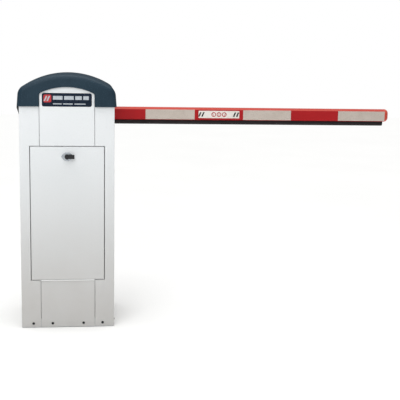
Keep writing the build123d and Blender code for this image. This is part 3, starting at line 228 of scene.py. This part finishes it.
FINISH = {
    # Polyester powder coat on steel sheet: even off-white with a soft orange peel, a painted highlight on
    # the faces that look up, and painted shade, grey at the foot, that thins out towards the cap.
    "white_powder_coat": surface(
        "white_powder_coat", ("#E6EAEC", "#ECEFF1"), 240.0, (0.36, 0.46), [("peel", 2.4, 0.012)],
        foot=("#C7C5C2", 820.0), fleck=("#D6D6D3", 7.0, 0.08), top_highlight=("#FCFDFD", 1.0), IOR=1.5),
    # Moulded ASA, dull blue-grey: a spark-eroded grain, drawn coarser than real so that it shows, and
    # the slight waves of a large moulding.  A little painted highlight lightens the faces that look up.
    "cap_grey": surface(
        "cap_grey", ("#1B2F3C", "#213643"), 90.0, (0.46, 0.58),
        [("grain", 2.2, 0.10), ("peel", 60.0, 0.15)], fleck=("#344858", 4.0, 0.40), top_highlight=("#33444F", 0.15),
        IOR=1.5, Specular_IOR_Level=0.2),
    # Gloss red coating over an extruded tube: faint die lines along its length, and a painted highlight
    # that turns the top towards orange.
    "boom_red": surface(
        "boom_red", ("#AC151C", "#B91A20"), 160.0, (0.34, 0.46),
        [("grain", 1.6, 0.03, ALONG_BOOM), ("peel", 2.0, 0.008)], top_highlight=("#CC4632", 0.7),
        Specular_IOR_Level=0.25),
    # Extruded EPDM rubber: dull brown-black, extrusion lines, a little dust in them.
    "black_rubber": surface(
        "black_rubber", ("#1B1516", "#241D1E"), 70.0, (0.55, 0.72), [("grain", 1.8, 0.10, ALONG_BOOM)],
        fleck=("#453D3B", 5.0, 0.12), Specular_IOR_Level=0.2),
    # Prismatic reflective film: grey-white sealed cells under a clear gloss face.
    "reflective_white": surface(
        "reflective_white", ("#C9BDB2", "#D5CAC0"), 60.0, (0.26, 0.36), [("honeycomb", 3.6, 0.05)],
        fleck=("#B5AAA0", 3.6, 0.35), Specular_IOR_Level=0.35),
    # Moulded polypropylene, orange-red, with a painted highlight on top.
    "end_cap_orange": surface(
        "end_cap_orange", ("#CC4634", "#D65444"), 25.0, (0.36, 0.46), [("grain", 1.2, 0.02)],
        top_highlight=("#DB6A55", 0.6), IOR=1.49, Specular_IOR_Level=0.3),
    # Zinc plate, blue passivated: soft silver with cloudy patches and rolling lines.
    "zinc_plate": surface(
        "zinc_plate", ("#AEB2B6", "#C6C7C4"), 38.0, (0.30, 0.46), [("grain", 1.4, 0.03, UP_AND_DOWN)],
        wear=("#DADBDC", 1.2), Metallic=1.0),
    # Black powder coat on thick steel: fine texture, rubbed to grey along the edges.
    "black_steel": surface(
        "black_steel", ("#17181A", "#212325"), 60.0, (0.48, 0.60), [("grain", 1.3, 0.06)],
        wear=("#6B6D70", 1.0)),
    # Black oxide on screws: oily dark steel.
    "black_oxide": surface(
        "black_oxide", ("#2B2C2E", "#3A3B3D"), 6.0, (0.34, 0.48), [("grain", 0.8, 0.02)], Metallic=0.9),
    # Chrome plate on a zinc die casting: mirror bright, fine polishing haze.
    "chrome_plate": surface(
        "chrome_plate", ("#A4ABB2", "#BFC4C8"), 12.0, (0.08, 0.16), [("grain", 1.0, 0.004)], Metallic=1.0),
    # Sand-cast aluminium, as cast: matt grey with a sandy skin, brighter where it is rubbed.
    "grey_casting": surface(
        "grey_casting", ("#85888A", "#9DA0A1"), 30.0, (0.50, 0.64),
        [("grain", 1.5, 0.16), ("cells", 4.0, 0.05)], wear=("#CDCFD0", 1.4), Metallic=0.85),
    # Machine enamel with a light hammer texture: mid grey.
    "motor_grey": surface(
        "motor_grey", ("#4B545A", "#58616A"), 50.0, (0.34, 0.44), [("cells", 3.2, 0.05)],
        wear=("#8B9092", 0.8)),
    # Oil-tempered spring wire: dark straw-blue steel, faintly mottled.
    "spring_steel": surface(
        "spring_steel", ("#4A4B50", "#64605B"), 18.0, (0.26, 0.38), [("grain", 0.9, 0.02)], Metallic=1.0),
    # Screen-printed navy on a gloss plastic plate.
    "navy_badge": surface(
        "navy_badge", ("#0D1B2B", "#132337"), 40.0, (0.24, 0.34), [("peel", 3.0, 0.006)],
        Specular_IOR_Level=0.25),
    # Printed white reflective film, slightly warm.
    "label_film": surface(
        "label_film", ("#F0EAE2", "#F7F2EC"), 30.0, (0.28, 0.36), [("honeycomb", 3.6, 0.02)]),
    # Moulded glass-filled nylon: black, slightly speckled.
    "black_plastic": surface(
        "black_plastic", ("#151617", "#202224"), 20.0, (0.38, 0.52), [("grain", 1.2, 0.04)]),
    # Moulded polycarbonate box: light grey, fine matt texture.
    "grey_plastic": surface(
        "grey_plastic", ("#B4B7B8", "#C1C4C5"), 80.0, (0.40, 0.52), [("grain", 1.4, 0.05)], IOR=1.58),
    # Solder resist on a circuit board: deep gloss green over raised copper.
    "circuit_green": surface(
        "circuit_green", ("#0E3F22", "#16552F"), 9.0, (0.18, 0.28), [("honeycomb", 4.0, 0.05)]),
    # Moulded housings of relays, terminals and chips.
    "component_dark": surface(
        "component_dark", ("#1B1F26", "#2B3038"), 12.0, (0.38, 0.55), [("grain", 0.9, 0.03)]),
    # Ground steel: bright, with fine lines along the shaft and patches of grease.
    "ground_steel": surface(
        "ground_steel", ("#A2A4A6", "#B8B9B8"), 15.0, (0.18, 0.32), [("grain", 0.8, 0.015, ALONG_SHAFT)],
        Metallic=1.0),
    # Glossy moulded red switch.
    "red_rocker": surface(
        "red_rocker", ("#A81E22", "#B8292B"), 10.0, (0.20, 0.30), [("peel", 1.5, 0.01)]),
}
# Screen inks of the badge and of the label: even, smooth, and slightly raised where they lie thick.
WHITE_INK = surface("white_keyline_ink", ("#EEF0F2", "#F6F7F8"), 20.0, (0.26, 0.34), [("peel", 2.0, 0.006)])
SILVER_INK = surface("silver_grey_ink", ("#AEB6BE", "#C0C7CD"), 8.0, (0.26, 0.36), [("peel", 2.0, 0.006)])
RED_INK = surface("red_ink", ("#B32B30", "#BF3739"), 8.0, (0.26, 0.36), [("peel", 2.0, 0.006)])
BLACK_INK = surface("black_ink", ("#16181C", "#20242A"), 8.0, (0.28, 0.38), [("peel", 2.0, 0.006)])

slot_of = {row["node"]: row["material_slot"] for row in frame["record"]["subparts"]}


# ---------------------------------------------------------------- pieces
CREASE_DEG = 30.0               # an edge that turns more than this is sharp, and is broken
TURNED_CREASE_DEG = 35.0        # the same on turned pieces
EDGE_SEGMENTS = 2
SAME_POINT = 0.005 * MM         # points of a solid's triangles that are closer than this are one
FLAT_DEG = 0.3                  # faces that turn less than this are one flat face


def new_piece(name, mesh, material):
    """Link a mesh as an object at the origin, with one finish."""
    mesh.materials.clear()
    mesh.materials.append(material)
    piece = bpy.data.objects.new(name, mesh)
    render.collection.objects.link(piece)
    return piece


def soften(piece, edge_mm):
    """Break the sharp edges and keep flat faces looking flat."""
    piece.data.shade_smooth()
    piece.data.set_sharp_from_angle(angle=radians(CREASE_DEG))
    edge = piece.modifiers.new("broken_edges", "BEVEL")
    edge.width = edge_mm * MM
    edge.segments = EDGE_SEGMENTS
    edge.limit_method = "ANGLE"
    edge.angle_limit = radians(CREASE_DEG)
    edge.harden_normals = True


def joined_faces(node):
    """A copy of a solid's triangles with its points merged and its flat faces joined, as a bmesh."""
    source = frame["nodes"][node].data
    mesh = bpy.data.meshes.new(node + "_mesh")
    mesh.from_pydata([v.co for v in source.vertices], [], [tuple(p.vertices) for p in source.polygons])
    work = bmesh.new()
    work.from_mesh(mesh)
    bmesh.ops.remove_doubles(work, verts=work.verts, dist=SAME_POINT)
    bmesh.ops.dissolve_limit(work, angle_limit=radians(FLAT_DEG), verts=work.verts, edges=work.edges)
    return work, mesh


def refine(node, edge_mm):
    """Show a solid with broken edges and its finish."""
    work, mesh = joined_faces(node)
    work.to_mesh(mesh)
    work.free()
    piece = new_piece(node + "_finished", mesh, FINISH[slot_of[node]])
    soften(piece, edge_mm)
    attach(piece, frame["nodes"][node]["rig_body"])
    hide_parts(node)


def islands(node):
    """The boxes of a node's separate solids, as (lowest, highest) corners."""
    work, mesh = joined_faces(node)
    left = set(work.verts)
    boxes = []
    while left:
        todo = [left.pop()]
        group = list(todo)
        while todo:
            for edge in todo.pop().link_edges:
                for v in edge.verts:
                    if v in left:
                        left.remove(v)
                        todo.append(v)
                        group.append(v)
        boxes.append((Vector([min(v.co[i] for v in group) for i in range(3)]),
                      Vector([max(v.co[i] for v in group) for i in range(3)])))
    work.free()
    bpy.data.meshes.remove(mesh)
    return boxes


def lathe(name, profile, steps):
    """Turn a profile of (radius, height) round Z into a closed mesh."""
    work = bmesh.new()
    rings = []
    for r, z in profile:
        if r == 0:
            rings.append([work.verts.new((0, 0, z))])
        else:
            rings.append([work.verts.new((r * cos(2 * pi * i / steps), r * sin(2 * pi * i / steps), z))
                          for i in range(steps)])
    for a, b in zip(rings, rings[1:]):
        for i in range(steps):
            j = (i + 1) % steps
            corners = [a[i % len(a)], a[j % len(a)], b[j % len(b)], b[i % len(b)]]
            work.faces.new(list(dict.fromkeys(corners)))
    bmesh.ops.recalc_face_normals(work, faces=work.faces)
    mesh = bpy.data.meshes.new(name)
    work.to_mesh(mesh)
    work.free()
    mesh.shade_smooth()
    mesh.set_sharp_from_angle(angle=radians(TURNED_CREASE_DEG))
    return mesh


def node_group(name, inputs):
    """An empty Geometry Nodes tree with named inputs; returns the tree and what it is given."""
    tree = bpy.data.node_groups.new(name, "GeometryNodeTree")
    tree.interface.new_socket("Geometry", in_out="INPUT", socket_type="NodeSocketGeometry")
    for label, kind in inputs:
        tree.interface.new_socket(label, in_out="INPUT", socket_type=kind)
    tree.interface.new_socket("Geometry", in_out="OUTPUT", socket_type="NodeSocketGeometry")
    return tree, add(tree, "NodeGroupInput").outputs


def close_group(tree, geometry, material):
    """End a tree in Realize Instances and Set Material."""
    real = add(tree, "GeometryNodeRealizeInstances", {"Geometry": geometry}).outputs["Geometry"]
    painted = add(tree, "GeometryNodeSetMaterial",
                  {"Geometry": real, "Material": material}).outputs["Geometry"]
    add(tree, "NodeGroupOutput", {"Geometry": painted})


def grow(name, tree, start_mesh, inputs):
    """Run a tree on a start mesh and return the result as a plain mesh."""
    maker = bpy.data.objects.new(name + "_maker", start_mesh)
    render.collection.objects.link(maker)
    modifier = maker.modifiers.new("maker", "NODES")
    modifier.node_group = tree
    for item in tree.interface.items_tree:
        if item.in_out == "INPUT" and item.name in inputs:
            modifier[item.identifier] = inputs[item.name]
    bpy.context.view_layer.update()
    shown = maker.evaluated_get(bpy.context.evaluated_depsgraph_get())
    mesh = bpy.data.meshes.new_from_object(shown)
    mesh.name = name
    bpy.data.objects.remove(maker)
    return mesh


WIRE_SIDES = 10


def spring_tree():
    """A close coil of round wire, turning up from the start mesh's height 0."""
    tree, given = node_group("coil_of_wire", [
        ("Turns", "NodeSocketFloat"), ("Coil Radius", "NodeSocketFloat"), ("Height", "NodeSocketFloat"),
        ("Wire Radius", "NodeSocketFloat"), ("Steps", "NodeSocketInt"), ("Finish", "NodeSocketMaterial")])
    coil = add(tree, "GeometryNodeCurveSpiral", {
        "Resolution": given["Steps"], "Rotations": given["Turns"], "Start Radius": given["Coil Radius"],
        "End Radius": given["Coil Radius"], "Height": given["Height"]}).outputs["Curve"]
    wire = add(tree, "GeometryNodeCurvePrimitiveCircle", {"Radius": given["Wire Radius"]},
               {"Resolution": WIRE_SIDES}).outputs["Curve"]
    rod = add(tree, "GeometryNodeCurveToMesh", {"Curve": coil, "Profile Curve": wire},
              {"Fill Caps": True}).outputs["Mesh"]
    smooth = add(tree, "GeometryNodeSetShadeSmooth", {"Geometry": rod}).outputs["Geometry"]
    close_group(tree, smooth, given["Finish"])
    return tree


def scatter_tree():
    """One pattern piece on every point, its +Z turned to the point's facing."""
    tree, given = node_group("one_on_each_point", [
        ("Pattern Piece", "NodeSocketObject"), ("Finish", "NodeSocketMaterial")])
    shape = add(tree, "GeometryNodeObjectInfo", {"Object": given["Pattern Piece"]}).outputs["Geometry"]
    facing = add(tree, "GeometryNodeInputNamedAttribute", values={"Name": "facing"},
                 data_type="FLOAT_VECTOR").outputs["Attribute"]
    turn = add(tree, "FunctionNodeAlignRotationToVector", {"Vector": facing}, axis="Z").outputs["Rotation"]
    copies = add(tree, "GeometryNodeInstanceOnPoints",
                 {"Points": given["Geometry"], "Instance": shape, "Rotation": turn}).outputs["Instances"]
    close_group(tree, copies, given["Finish"])
    return tree


SCATTER = scatter_tree()


def scatter(name, shape, places, material):
    """A mesh with a copy of shape at each (point, facing)."""
    points = bpy.data.meshes.new(name + "_points")
    points.from_pydata([p for p, _ in places], [], [])
    facing = points.attributes.new("facing", "FLOAT_VECTOR", "POINT")
    facing.data.foreach_set("vector", [c for _, f in places for c in f])
    sample = bpy.data.objects.new(name + "_sample", shape)
    render.collection.objects.link(sample)
    mesh = grow(name, SCATTER, points, {"Pattern Piece": sample, "Finish": material})
    bpy.data.objects.remove(sample)
    return mesh


def stamp(work, outline, y_back, y_front):
    """Add a flat print to a bmesh: an outline in XZ, standing from y_back to y_front."""
    back = [work.verts.new((x, y_back, z)) for x, z in outline]
    front = [work.verts.new((x, y_front, z)) for x, z in outline]
    work.faces.new(front)
    work.faces.new(back[::-1])
    for i, a in enumerate(front):
        j = (i + 1) % len(front)
        work.faces.new((a, back[i], back[j], front[j]))


RING_STEPS = 40
CORNER_STEPS = 8


def stamp_ring(work, x, z, outer, inner, y_back, y_front):
    """Add a flat printed ring to a bmesh."""
    turns = [2 * pi * i / RING_STEPS for i in range(RING_STEPS)]
    loops = [[work.verts.new((x + r * cos(t), y, z + r * sin(t))) for t in turns]
             for r, y in ((outer, y_back), (outer, y_front), (inner, y_front), (inner, y_back))]
    for a, b in zip(loops, loops[1:] + loops[:1]):
        for i in range(RING_STEPS):
            j = (i + 1) % RING_STEPS
            work.faces.new((a[i], a[j], b[j], b[i]))


def printed(name, work, material, body):
    """Turn a bmesh of prints into a piece that rides a body."""
    bmesh.ops.recalc_face_normals(work, faces=work.faces)
    mesh = bpy.data.meshes.new(name)
    work.to_mesh(mesh)
    work.free()
    piece = new_piece(name, mesh, material)
    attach(piece, body)
    return piece


def rectangle(x, z, width, height, slant=0.0):
    """Outline of a bar round (x, z); slant moves its top sideways."""
    w, h = width / 2, height / 2
    return [(x - w, z - h), (x + w, z - h), (x + w + slant, z + h), (x - w + slant, z + h)]


def rounded(x, z, width, height, corner):
    """Outline of a rounded rectangle round (x, z)."""
    points = []
    for quarter, (sx, sz) in enumerate(((1, -1), (1, 1), (-1, 1), (-1, -1))):
        for i in range(CORNER_STEPS + 1):
            t = radians(-90 + 90 * quarter + 90 * i / CORNER_STEPS)
            points.append((x + sx * (width / 2 - corner) + corner * cos(t),
                           z + sz * (height / 2 - corner) + corner * sin(t)))
    return points


# ---------------------------------------------------------------- solids with broken edges
EDGE_MM = {
    "left_side_panel": 0.8, "right_side_panel": 0.8, "upper_front_panel": 0.7, "lower_front_panel": 0.7,
    "rear_panel": 0.6, "door_panel": 1.1, "cap_shell": 0.9, "boom_tube": 0.7, "boom_end_caps": 0.6,
    "rubber_edge": 1.0, "arm_bracket": 1.0, "clamp_plate": 0.8, "arm_hub": 0.8, "gearbox_housing": 1.6,
    "motor_plate": 0.8, "base_plate": 0.8, "control_box": 0.6, "control_box_lid": 0.6, "lock_housing": 0.3,
    "lock_wing": 0.6, "reflective_tapes": 0.12,
}
OWN_SHAPE = ("panel_screws", "counterbalance_spring", "badge_plate", "label_plate")
USUAL_EDGE_MM = 0.4
for node_name in sorted(frame["nodes"]):
    if node_name not in OWN_SHAPE:
        refine(node_name, EDGE_MM.get(node_name, USUAL_EDGE_MM))


# ---------------------------------------------------------------- panel screws
HEAD_R, HEAD_H = 5.5 * MM, 3.0 * MM
DOME_SHARE = 0.75                       # drop of the dome to its rim, as a share of the head's height
DOME_RINGS = (36, 50, 64, 78, 90)       # degrees down from the top
SOCKET_R, SOCKET_DEEP = 2.2 * MM, 1.8 * MM
DRILL_POINT = 0.4 * MM                  # the cone at the bottom of the socket
RIM_W = 0.3 * MM                        # the slope round the socket's mouth
RIM_LOW, RIM_HIGH = 0.45 * MM, 0.25 * MM
HEAD_STEPS = 24
EQUAL_WITHIN = 0.3 * MM                 # a screw is as thick one way as the other to within this


def screw_places():
    """The outer face of every panel screw and the way that it faces."""
    places = []
    for low, high in islands("panel_screws"):
        middle, size = (low + high) / 2, high - low
        axis = 0 if abs(size.y - size.z) < EQUAL_WITHIN else 1
        facing = Vector((0, 0, 0))
        facing[axis] = 1.0 if middle[axis] > 0 else -1.0
        point = middle.copy()
        point[axis] = high[axis] if facing[axis] > 0 else low[axis]
        places.append((point, facing))
    return places


def screw_head():
    """A domed button head with a round socket, its top at z = 0 and its seat below."""
    angles = [radians(ring) for ring in DOME_RINGS]
    dome = [(HEAD_R * sin(t), HEAD_H * DOME_SHARE * (cos(t) - 1)) for t in angles]
    profile = [(0, -SOCKET_DEEP - DRILL_POINT), (SOCKET_R, -SOCKET_DEEP), (SOCKET_R, -RIM_LOW),
               (SOCKET_R + RIM_W, -RIM_HIGH), *dome, (HEAD_R, -HEAD_H), (0, -HEAD_H)]
    return lathe("button_head", profile, HEAD_STEPS)


heads = scatter("panel_screw_heads", screw_head(), screw_places(), FINISH["black_oxide"])
screws = new_piece("panel_screw_heads", heads, FINISH["black_oxide"])
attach(screws, "cabinet")
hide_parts("panel_screws")

# ---------------------------------------------------------------- counterbalance spring
WIRE = 5.0 * MM
TURNS = 60
STEPS_A_TURN = 20
spring_low, spring_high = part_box("counterbalance_spring")
spring_mesh = grow("counterbalance_coil", spring_tree(), bpy.data.meshes.new("spring_start"), {
    "Turns": float(TURNS), "Coil Radius": (spring_high.x - spring_low.x) / 2 - WIRE / 2,
    "Height": spring_high.z - spring_low.z - WIRE, "Wire Radius": WIRE / 2, "Steps": STEPS_A_TURN,
    "Finish": FINISH["spring_steel"]})
spring_mesh.transform(Matrix.Translation((
    (spring_low.x + spring_high.x) / 2, (spring_low.y + spring_high.y) / 2, spring_low.z + WIRE / 2)))
spring = new_piece("counterbalance_coil", spring_mesh, FINISH["spring_steel"])
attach(spring, "cabinet")
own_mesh(spring)
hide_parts("counterbalance_spring")

# ---------------------------------------------------------------- badge: plain plaque, no lettering
BADGE_CORNER = 10 * MM
KEYLINE_W = 2 * MM
KEYLINE_UP, FIELD_UP = 0.4, 0.85        # how far they stand out, as shares of the plaque's thickness
PRINT_EDGE_MM = 0.3
# The mark and its two stripes, in millimetres from the plaque's middle.
MARK_X, MARK_Z, MARK_SIZE, MARK_CORNER = -77, 5, 31, 6
STRIPE_XS, STRIPE_W, STRIPE_H, STRIPE_SLANT = (-89, -78), 6, 20, 9
# Rows of bars beside it: the row's middle and height, then the middle and width of each bar.
BAR_ROWS = (
    (8, 15, ((-36, 38), (8, 38), (46, 26), (76, 22))),
    (-16, 4, ((-38, 34), (4, 38), (52, 44))),
)

badge_low, badge_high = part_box("badge_plate")
badge_x, badge_z = (badge_low.x + badge_high.x) / 2, (badge_low.z + badge_high.z) / 2
badge_w, badge_h = badge_high.x - badge_low.x, badge_high.z - badge_low.z
y_panel, y_face = badge_high.y, badge_low.y
y_keyline = y_panel + KEYLINE_UP * (y_face - y_panel)
y_field = y_panel + FIELD_UP * (y_face - y_panel)

keyline = bmesh.new()
stamp(keyline, rounded(badge_x, badge_z, badge_w, badge_h, BADGE_CORNER), y_panel, y_keyline)
soften(printed("badge_keyline", keyline, WHITE_INK, "cabinet"), PRINT_EDGE_MM)
field = bmesh.new()
field_w, field_h = badge_w - 2 * KEYLINE_W, badge_h - 2 * KEYLINE_W
stamp(field, rounded(badge_x, badge_z, field_w, field_h, BADGE_CORNER - KEYLINE_W), y_keyline, y_field)
badge = printed("badge_field", field, FINISH["navy_badge"], "cabinet")
soften(badge, PRINT_EDGE_MM)
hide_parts("badge_plate")

# A red square with two slanted stripes, beside two rows of plain bars.
y_mark = (y_field + y_face) / 2
mark_z = badge_z + MARK_Z * MM
mark_square = bmesh.new()
mark_outline = rounded(badge_x + MARK_X * MM, mark_z, MARK_SIZE * MM, MARK_SIZE * MM, MARK_CORNER * MM)
stamp(mark_square, mark_outline, y_field, y_mark)
printed("badge_mark_square", mark_square, RED_INK, "cabinet")
bars = bmesh.new()
for row_z, row_h, row in BAR_ROWS:
    for x, w in row:
        bar = rectangle(badge_x + x * MM, badge_z + row_z * MM, w * MM, row_h * MM)
        stamp(bars, bar, y_field, y_face)
for x in STRIPE_XS:
    stripe = rectangle(badge_x + x * MM, mark_z, STRIPE_W * MM, STRIPE_H * MM, STRIPE_SLANT * MM)
    stamp(bars, stripe, y_field, y_face)
printed("badge_bars", bars, SILVER_INK, "cabinet")

# ---------------------------------------------------------------- label: rings and bars, no lettering
LABEL_EDGE_MM = 0.2
RING_SPACING, RING_OUTER, RING_INNER = 24 * MM, 10.5 * MM, 7.2 * MM
STROKE_W, STROKE_H, STROKE_SLANT = 2.4 * MM, 14 * MM, 6 * MM
SLASH_W, SLASH_H, SLASH_SLANT = 7 * MM, 20 * MM, 8 * MM
SLASH_FROM_END = 14 * MM                # from the label's end to where a pair of slashes is set out
SLASH_SHIFTS = (-12 * MM, 2 * MM)       # each slash of a pair from there
PRINT_UP, PRINT_SUNK = 0.1 * MM, 0.05 * MM

label_low, label_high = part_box("label_plate")
label_x, label_z = (label_low.x + label_high.x) / 2, (label_low.z + label_high.z) / 2
label_w = label_high.x - label_low.x
y_print = label_low.y - PRINT_UP
y_back = label_low.y + PRINT_SUNK
refine("label_plate", LABEL_EDGE_MM)

red_print = bmesh.new()
for side in (-1, 0, 1):
    ring_x = label_x + side * RING_SPACING
    stamp_ring(red_print, ring_x, label_z, RING_OUTER, RING_INNER, y_back, y_print)
    bar = rectangle(ring_x, label_z, STROKE_W, STROKE_H, side * STROKE_SLANT)
    stamp(red_print, bar, y_back, y_print)
printed("label_red_print", red_print, RED_INK, "arm")
black_print = bmesh.new()
for side in (-1, 1):
    end = label_x + side * (label_w / 2 - SLASH_FROM_END)
    for shift in SLASH_SHIFTS:
        slash = rectangle(end + shift, label_z, SLASH_W, SLASH_H, SLASH_SLANT)
        stamp(black_print, slash, y_back, y_print)
printed("label_black_print", black_print, BLACK_INK, "arm")


# ---------------------------------------------------------------- floor, light and camera
FLOOR_REACH = 12.0
KEY_PLACE, KEY_AIM = Vector((-0.35, -1.45, 1.75)), Vector((0.1, 0, 1.0))
KEY_SIZE, KEY_WATTS = 0.8, 11.0
OVERHEAD_SPREAD_DEG, OVERHEAD_STRENGTH = 70, 2.95
ROOM_LIGHT, BACKGROUND = 0.16, 1.0      # the room as it lights the object, and as the camera sees it
EYE = Vector((0.082, -3.814, 1.149))
EYE_YAW, EYE_DOWN, EYE_ROLL = radians(7.23), radians(9.49), radians(1.05)
LENS_MM = 80.7


def studio_floor():
    """A plain pale floor, matt."""
    corners = [(x * FLOOR_REACH, y * FLOOR_REACH, 0) for x, y in ((-1, -1), (1, -1), (1, 1), (-1, 1))]
    mesh = bpy.data.meshes.new("floor")
    mesh.from_pydata(corners, [], [(0, 1, 2, 3)])
    floor = new_piece("studio_floor", mesh, surface(
        "studio_floor_paint", ("#F7F7F6", "#F9F9F8"), 900.0, (0.75, 0.85), [("peel", 6.0, 0.02)]))


def key_light():
    """A square soft box up on the left, in front of the cabinet."""
    data = bpy.data.lights.new("key_box", "AREA")
    data.shape = "SQUARE"
    data.size = KEY_SIZE
    data.energy = KEY_WATTS
    lamp = bpy.data.objects.new("key_box", data)
    lamp.location = KEY_PLACE
    lamp.rotation_euler = (KEY_AIM - KEY_PLACE).to_track_quat("-Z", "Y").to_euler()
    render.collection.objects.link(lamp)


def studio_camera():
    """Eye a little right of the cabinet's middle and just above it, turned slightly to the boom."""
    up = Vector((0, 0, 1))
    right = Vector((cos(EYE_YAW), -sin(EYE_YAW), 0))
    ahead = Vector((sin(EYE_YAW), cos(EYE_YAW), 0))
    sight = ahead * cos(EYE_DOWN) - up * sin(EYE_DOWN)
    top = ahead * sin(EYE_DOWN) + up * cos(EYE_DOWN)
    across = right * cos(EYE_ROLL) + top * sin(EYE_ROLL)
    rise = top * cos(EYE_ROLL) - right * sin(EYE_ROLL)
    turn = Matrix((across, rise, -sight)).transposed()
    data = bpy.data.cameras.new("studio_camera")
    data.lens = LENS_MM
    camera = bpy.data.objects.new("studio_camera", data)
    camera.matrix_world = Matrix.Translation(EYE) @ turn.to_4x4()
    render.collection.objects.link(camera)
    render.camera = camera


def overhead_light():
    """An even, very soft light from straight above, so that the floor is pale from edge to edge."""
    data = bpy.data.lights.new("overhead", "SUN")
    data.angle = radians(OVERHEAD_SPREAD_DEG)
    data.energy = OVERHEAD_STRENGTH
    lamp = bpy.data.objects.new("overhead", data)
    render.collection.objects.link(lamp)


def white_room():
    """A dim grey room round the object in front of a white background."""
    room = bpy.data.worlds.new("white_room")
    room.use_nodes = True
    tree = room.node_tree
    tree.nodes.clear()
    seen = add(tree, "ShaderNodeLightPath").outputs["Is Camera Ray"]
    strength = add(tree, "ShaderNodeMapRange", {"Value": seen},
                   {"To Min": ROOM_LIGHT, "To Max": BACKGROUND}).outputs["Result"]
    light = add(tree, "ShaderNodeBackground", {"Strength": strength}, {"Color": linear("#FFFFFF")})
    add(tree, "ShaderNodeOutputWorld", {"Surface": light.outputs["Background"]})
    render.world = room


studio_floor()
overhead_light()
white_room()
key_light()
render.view_settings.view_transform = "Standard"
studio_camera()
